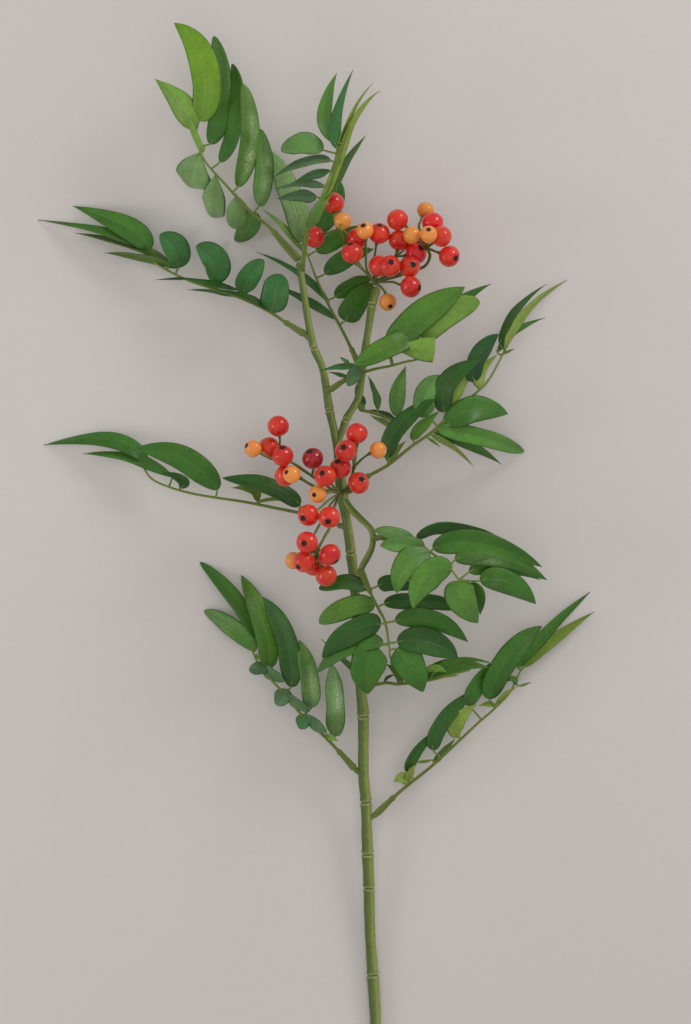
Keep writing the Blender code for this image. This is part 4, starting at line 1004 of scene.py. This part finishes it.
stalkLook = {
    "radius": 0.0007, "armShare": 1.3, "armSwell": 0.0002, "berrySwell": 0.0005, "swellWidth": 0.0012,
    # the side lit by painted light: a direction, and how fast the stalk turns pale towards it
    "lumps": (0.08, 500, 0), "step": 0.0008, "sides": 8, "paintedLightSide": (0.75, 0.35, 0.25), "paintedLightShare": 1.4,
    "hub": 0.0020, "knot": 0.0013, "knotRows": 9, "knotSides": 14, "knotLump": 0.12,
    "dark": linear(84, 100, 38), "light": linear(146, 158, 78), "knotTone": linear(96, 104, 44)}


def stalkPart(points, radius, swell):
    # a thin curved tube, thicker where it meets the berry, with painted light along its right side
    look = stalkLook
    path, _, travelled = smoothPath(points, look["step"])
    radii = radius * (1 + sineWave(travelled, *look["lumps"]))
    radii = radii + hump(travelled, swell, travelled[-1], look["swellWidth"])
    along, side, up = directions(path, False)
    angle = ringAngles(look["sides"])[:, None]
    outward = side[:, None] * np.cos(angle) + up[:, None] * np.sin(angle)
    # painted light on the face towards the right and up
    share = np.clip(outward @ np.array(look["paintedLightSide"]) * look["paintedLightShare"], 0, 1)[..., None]
    return sweep(path, radii, look["sides"], blend(look["dark"], look["light"], share), level=False)


def knotPart(centre, radius):
    # a knuckle: a ball whose radius is waved by 1 + lump * sin(3 * angle + 4 * polar angle)
    look = stalkLook
    polar = math.pi * (np.arange(look["knotRows"]) + 0.5) / look["knotRows"]
    angle = ringAngles(look["knotSides"])
    reach = radius * (1 + look["knotLump"] * np.sin(3 * angle[None] + 4 * polar[:, None]))
    rows = centre + np.stack([reach * np.sin(polar)[:, None] * np.cos(angle),
                              -reach * np.sin(polar)[:, None] * np.sin(angle),
                              reach * -np.cos(polar)[:, None]], -1)
    columnU = np.arange(look["knotSides"] + 1) / look["knotSides"]
    pole = [0, 0, radius]
    return closedGrid(rows, centre - pole, centre + pole, polar, columnU, look["knotTone"])


berryLook = {
    "radius": {"red": 0.0065, "orange": 0.0053}, "flattening": 0.95, "rows": 22, "sides": 32,
    "twoWave": 0.014, "threeWave": 0.010,  # waves with two and with three crests around
    "calyxDimple": (-0.075, 0, 0.20), "dimpleRim": (0.018, 0.42, 0.16),
    "stalkDimple": (-0.05, 0, 0.22), "stalkPole": 0.95, "calyxPole": 0.925,
    "stalkEnd": 0.96, "gap": 0.0002, "brightness": (0.86, 1.08),
    "calyxReach": 0.97, "calyxDroop": -0.35, "crownSize": (0.28, 0.34),
    "lobes": 5, "lobeFloor": 0.88, "lobeDepth": 0.12, "lobeShare": 0.5,
    "crownFoot": 0.86, "crownPit": 0.945,
    # the crown's rings from its foot to its pit: out in its own size, up in the flattened radius
    "crownRings": [(0.55, 0.88), (1.02, 0.90), (1.00, 0.955), (0.72, 0.985), (0.42, 0.975),
                   (0.30, 0.955)],
    "red": linear(230, 44, 30), "deep": linear(166, 22, 34), "orange": linear(254, 160, 70),
    "calyx": linear(24, 20, 18)}
berryMaterials = {"red": berryRed, "orange": berryOrange}


def berryParts(centre, radius, toCalyx, skin):
    # flesh: a ball, centre + out * (side * cos(angle) + up * sin(angle)) + axis * rise, with out the
    # radius * sin(polar) and rise the flattened -radius * cos(polar); the radius is waved by a few
    # per cent and dimpled at both poles. Calyx: a five-lobed crown round a pit, lying in the dimple.
    look = berryLook
    axis = unit(toCalyx)
    side = unit(np.cross(axis, np.eye(3)[np.argmin(np.abs(axis))]))
    up = np.cross(side, axis)
    fromStalk = (math.pi * (np.arange(look["rows"]) + 0.5) / look["rows"])[:, None]
    fromCalyx = math.pi - fromStalk
    angle = ringAngles(look["sides"])
    columnU = np.arange(look["sides"] + 1) / look["sides"]
    wave = (look["twoWave"] * np.sin(2 * angle[None] + chance.uniform(0, phaseSpan))
            + look["threeWave"] * np.sin(3 * angle[None] + 2 * fromStalk + chance.uniform(0, phaseSpan)))
    reach = radius * (1 + wave * np.sin(fromStalk) + hump(fromCalyx, *look["calyxDimple"])
                      + hump(fromCalyx, *look["dimpleRim"]) + hump(fromStalk, *look["stalkDimple"]))

    def around(out, rise):
        return (centre + side * (out * np.cos(angle))[..., None] + up * (out * np.sin(angle))[..., None]
                + axis * (rise * np.ones(len(angle)))[..., None])

    rows = around(reach * np.sin(fromStalk), -(reach * look["flattening"]) * np.cos(fromStalk))
    pole = radius * look["flattening"]
    flesh = closedGrid(rows, centre - axis * pole * look["stalkPole"],
                       centre + axis * pole * look["calyxPole"],
                       1 - fromCalyx[:, 0] / math.pi, columnU, skin)
    lobes = (look["lobeFloor"]
             + look["lobeDepth"] * np.cos(look["lobes"] * angle + chance.uniform(0, phaseSpan)) ** 3)
    size = radius * chance.uniform(*look["crownSize"])
    rings = np.array(look["crownRings"])
    lobed = np.clip(rings[:, :1], look["lobeShare"], 1)
    out = size * rings[:, :1] * (lobes * lobed + 1 - lobed)
    crown = closedGrid(around(out, radius * rings[:, 1:] * look["flattening"]),
                       centre + axis * pole * look["crownFoot"], centre + axis * pole * look["crownPit"],
                       np.linspace(0, 1, len(rings)), columnU, look["calyx"], slotIndex=1)
    return [flesh, crown]


def calyxDirection(u, v, radius, away, seen):
    # towards the calyx where the sheet shows it, or else away from the stalk and turned down
    if seen is None:
        hidden = -away
        hidden[2] = min(hidden[2], berryLook["calyxDroop"])
        return unit(hidden)
    flat = np.array([seen[0] - u, v - seen[1]]) * sheet["unit"] / radius
    flat = flat * min(1.0, berryLook["calyxReach"] / max(np.linalg.norm(flat), 1e-6))
    return np.append(flat, math.sqrt(1 - flat @ flat))


def buildUmbel(name, umbel):
    # stalks and knuckles are one piece; each berry is a piece of its own, at its stalk's end
    look = stalkLook
    parts = [knotPart(place(umbel["hub"]), look["hub"])]
    parts += [knotPart(place(knot), look["knot"]) for knot in umbel["knots"]]
    parts += [stalkPart(place(arm), look["radius"] * look["armShare"], look["armSwell"])
              for arm in umbel["arms"]]
    for number, (u, v, height, colour, stalk, seen) in enumerate(umbel["berries"], 1):
        kind = "orange" if colour == "orange" else "red"
        centre = place((u, v, height))
        radius = berryLook["radius"][kind]
        points = place(stalk)
        away = unit(points[-1] - centre)
        stalkEnd = centre + away * (radius * berryLook["stalkEnd"] + berryLook["gap"])
        parts.append(stalkPart(np.vstack([points, stalkEnd]), look["radius"], look["berrySwell"]))
        skin = berryLook[colour] * chance.uniform(*berryLook["brightness"])
        fruit = berryParts(centre, radius, calyxDirection(u, v, radius, away, seen), skin)
        makePiece(f"fruit_{name}_{number:02d}", fruit, [berryMaterials[kind], calyxDry],
                  f"berry_{name}_{number:02d}")
    makePiece(f"stalks_{name}", parts, [stalkWax], f"umbel_{name}")


buildUmbel("upper", upperUmbel)
buildUmbel("lower", lowerUmbel)
print("umbels and berries built")

stageLook = {
    "floorSize": 24.0, "paper": linear(226, 219, 215), "clouds": (6.0, 3.0),
    "cloudSpread": (0.985, 1.015), "fibres": (260.0, 4.0), "fibreSpread": (-0.012, 0.012),
    "paperRoughness": 0.9, "paperSpecular": 0.1,
    # the lights: place, size across and power
    "lights": {"key": ((1.0, 1.07, 0.75), 0.55, 5.8), "top": ((0.0, 0.1, 2.9), 2.6, 12.0),
               "fill": ((-1.0, -0.05, 0.55), 0.40, 1.6)},
    "aim": (0.0, 0.0, 0.03), "noReflectionOf": "top",
    "worldStrength": 0.44, "worldColour": (1.0, 0.99, 0.985, 1.0),
    "longSide": 1024, "sensor": 36.0,  # the view's long side in sheet units
    "clipStart": 0.05, "clipEnd": 20.0}


def buildFloor():
    # a plain paper sheet under everything
    look = stageLook
    size = look["floorSize"] / 2
    corners = [(-size, -size, 0), (size, -size, 0), (size, size, 0), (-size, size, 0)]
    mesh = bpy.data.meshes.new("floor")
    mesh.from_pydata(corners, [], [(0, 1, 2, 3)])
    material, tree, shader = newMaterial("paper")
    value = plus(tree, spread(tree, noise(tree, *look["clouds"]), *look["cloudSpread"]),
                 spread(tree, noise(tree, *look["fibres"]), *look["fibreSpread"]))
    setSockets(tree, shader, {"Base Color": tinted(tree, (*look["paper"][:3], 1.0), value),
                              "Roughness": look["paperRoughness"],
                              "Specular IOR Level": look["paperSpecular"]})
    mesh.materials.append(material)
    floor = bpy.data.objects.new("floor", mesh)
    bpy.context.scene.collection.objects.link(floor)


def addLight(name, spot, size, power):
    lamp = bpy.data.lights.new(name, "AREA")
    lamp.shape = "DISK"
    lamp.size = size
    lamp.energy = power
    made = bpy.data.objects.new(name, lamp)
    made.location = spot
    toAim = Vector(stageLook["aim"]) - Vector(spot)
    made.rotation_euler = toAim.to_track_quat("-Z", "Y").to_euler()
    made.visible_glossy = name != stageLook["noReflectionOf"]
    bpy.context.scene.collection.objects.link(made)


def setWorld():
    world = bpy.data.worlds.new("studio")
    world.use_nodes = True
    background = world.node_tree.nodes["Background"]
    setSockets(world.node_tree, background, {"Color": stageLook["worldColour"],
                                             "Strength": stageLook["worldStrength"]})
    bpy.context.scene.world = world
    bpy.context.scene.view_settings.view_transform = "Standard"


def addCamera():
    # straight over the sheet's own middle, framing its long side at the middle height
    eye = bpy.data.cameras.new("eye")
    eye.sensor_fit = "AUTO"
    eye.sensor_width = stageLook["sensor"]
    distance = sheet["eyeHeight"] - sheet["middleHeight"]
    eye.lens = stageLook["sensor"] * distance / (stageLook["longSide"] * sheet["unit"])
    eye.clip_start = stageLook["clipStart"]
    eye.clip_end = stageLook["clipEnd"]
    camera = bpy.data.objects.new("eye", eye)
    camera.location = (sheet["originX"], sheet["originY"], sheet["eyeHeight"])
    bpy.context.scene.collection.objects.link(camera)
    bpy.context.scene.camera = camera


buildFloor()
for lightName, light in stageLook["lights"].items():
    addLight(lightName, *light)
setWorld()
addCamera()
print("stage, lights and camera set")
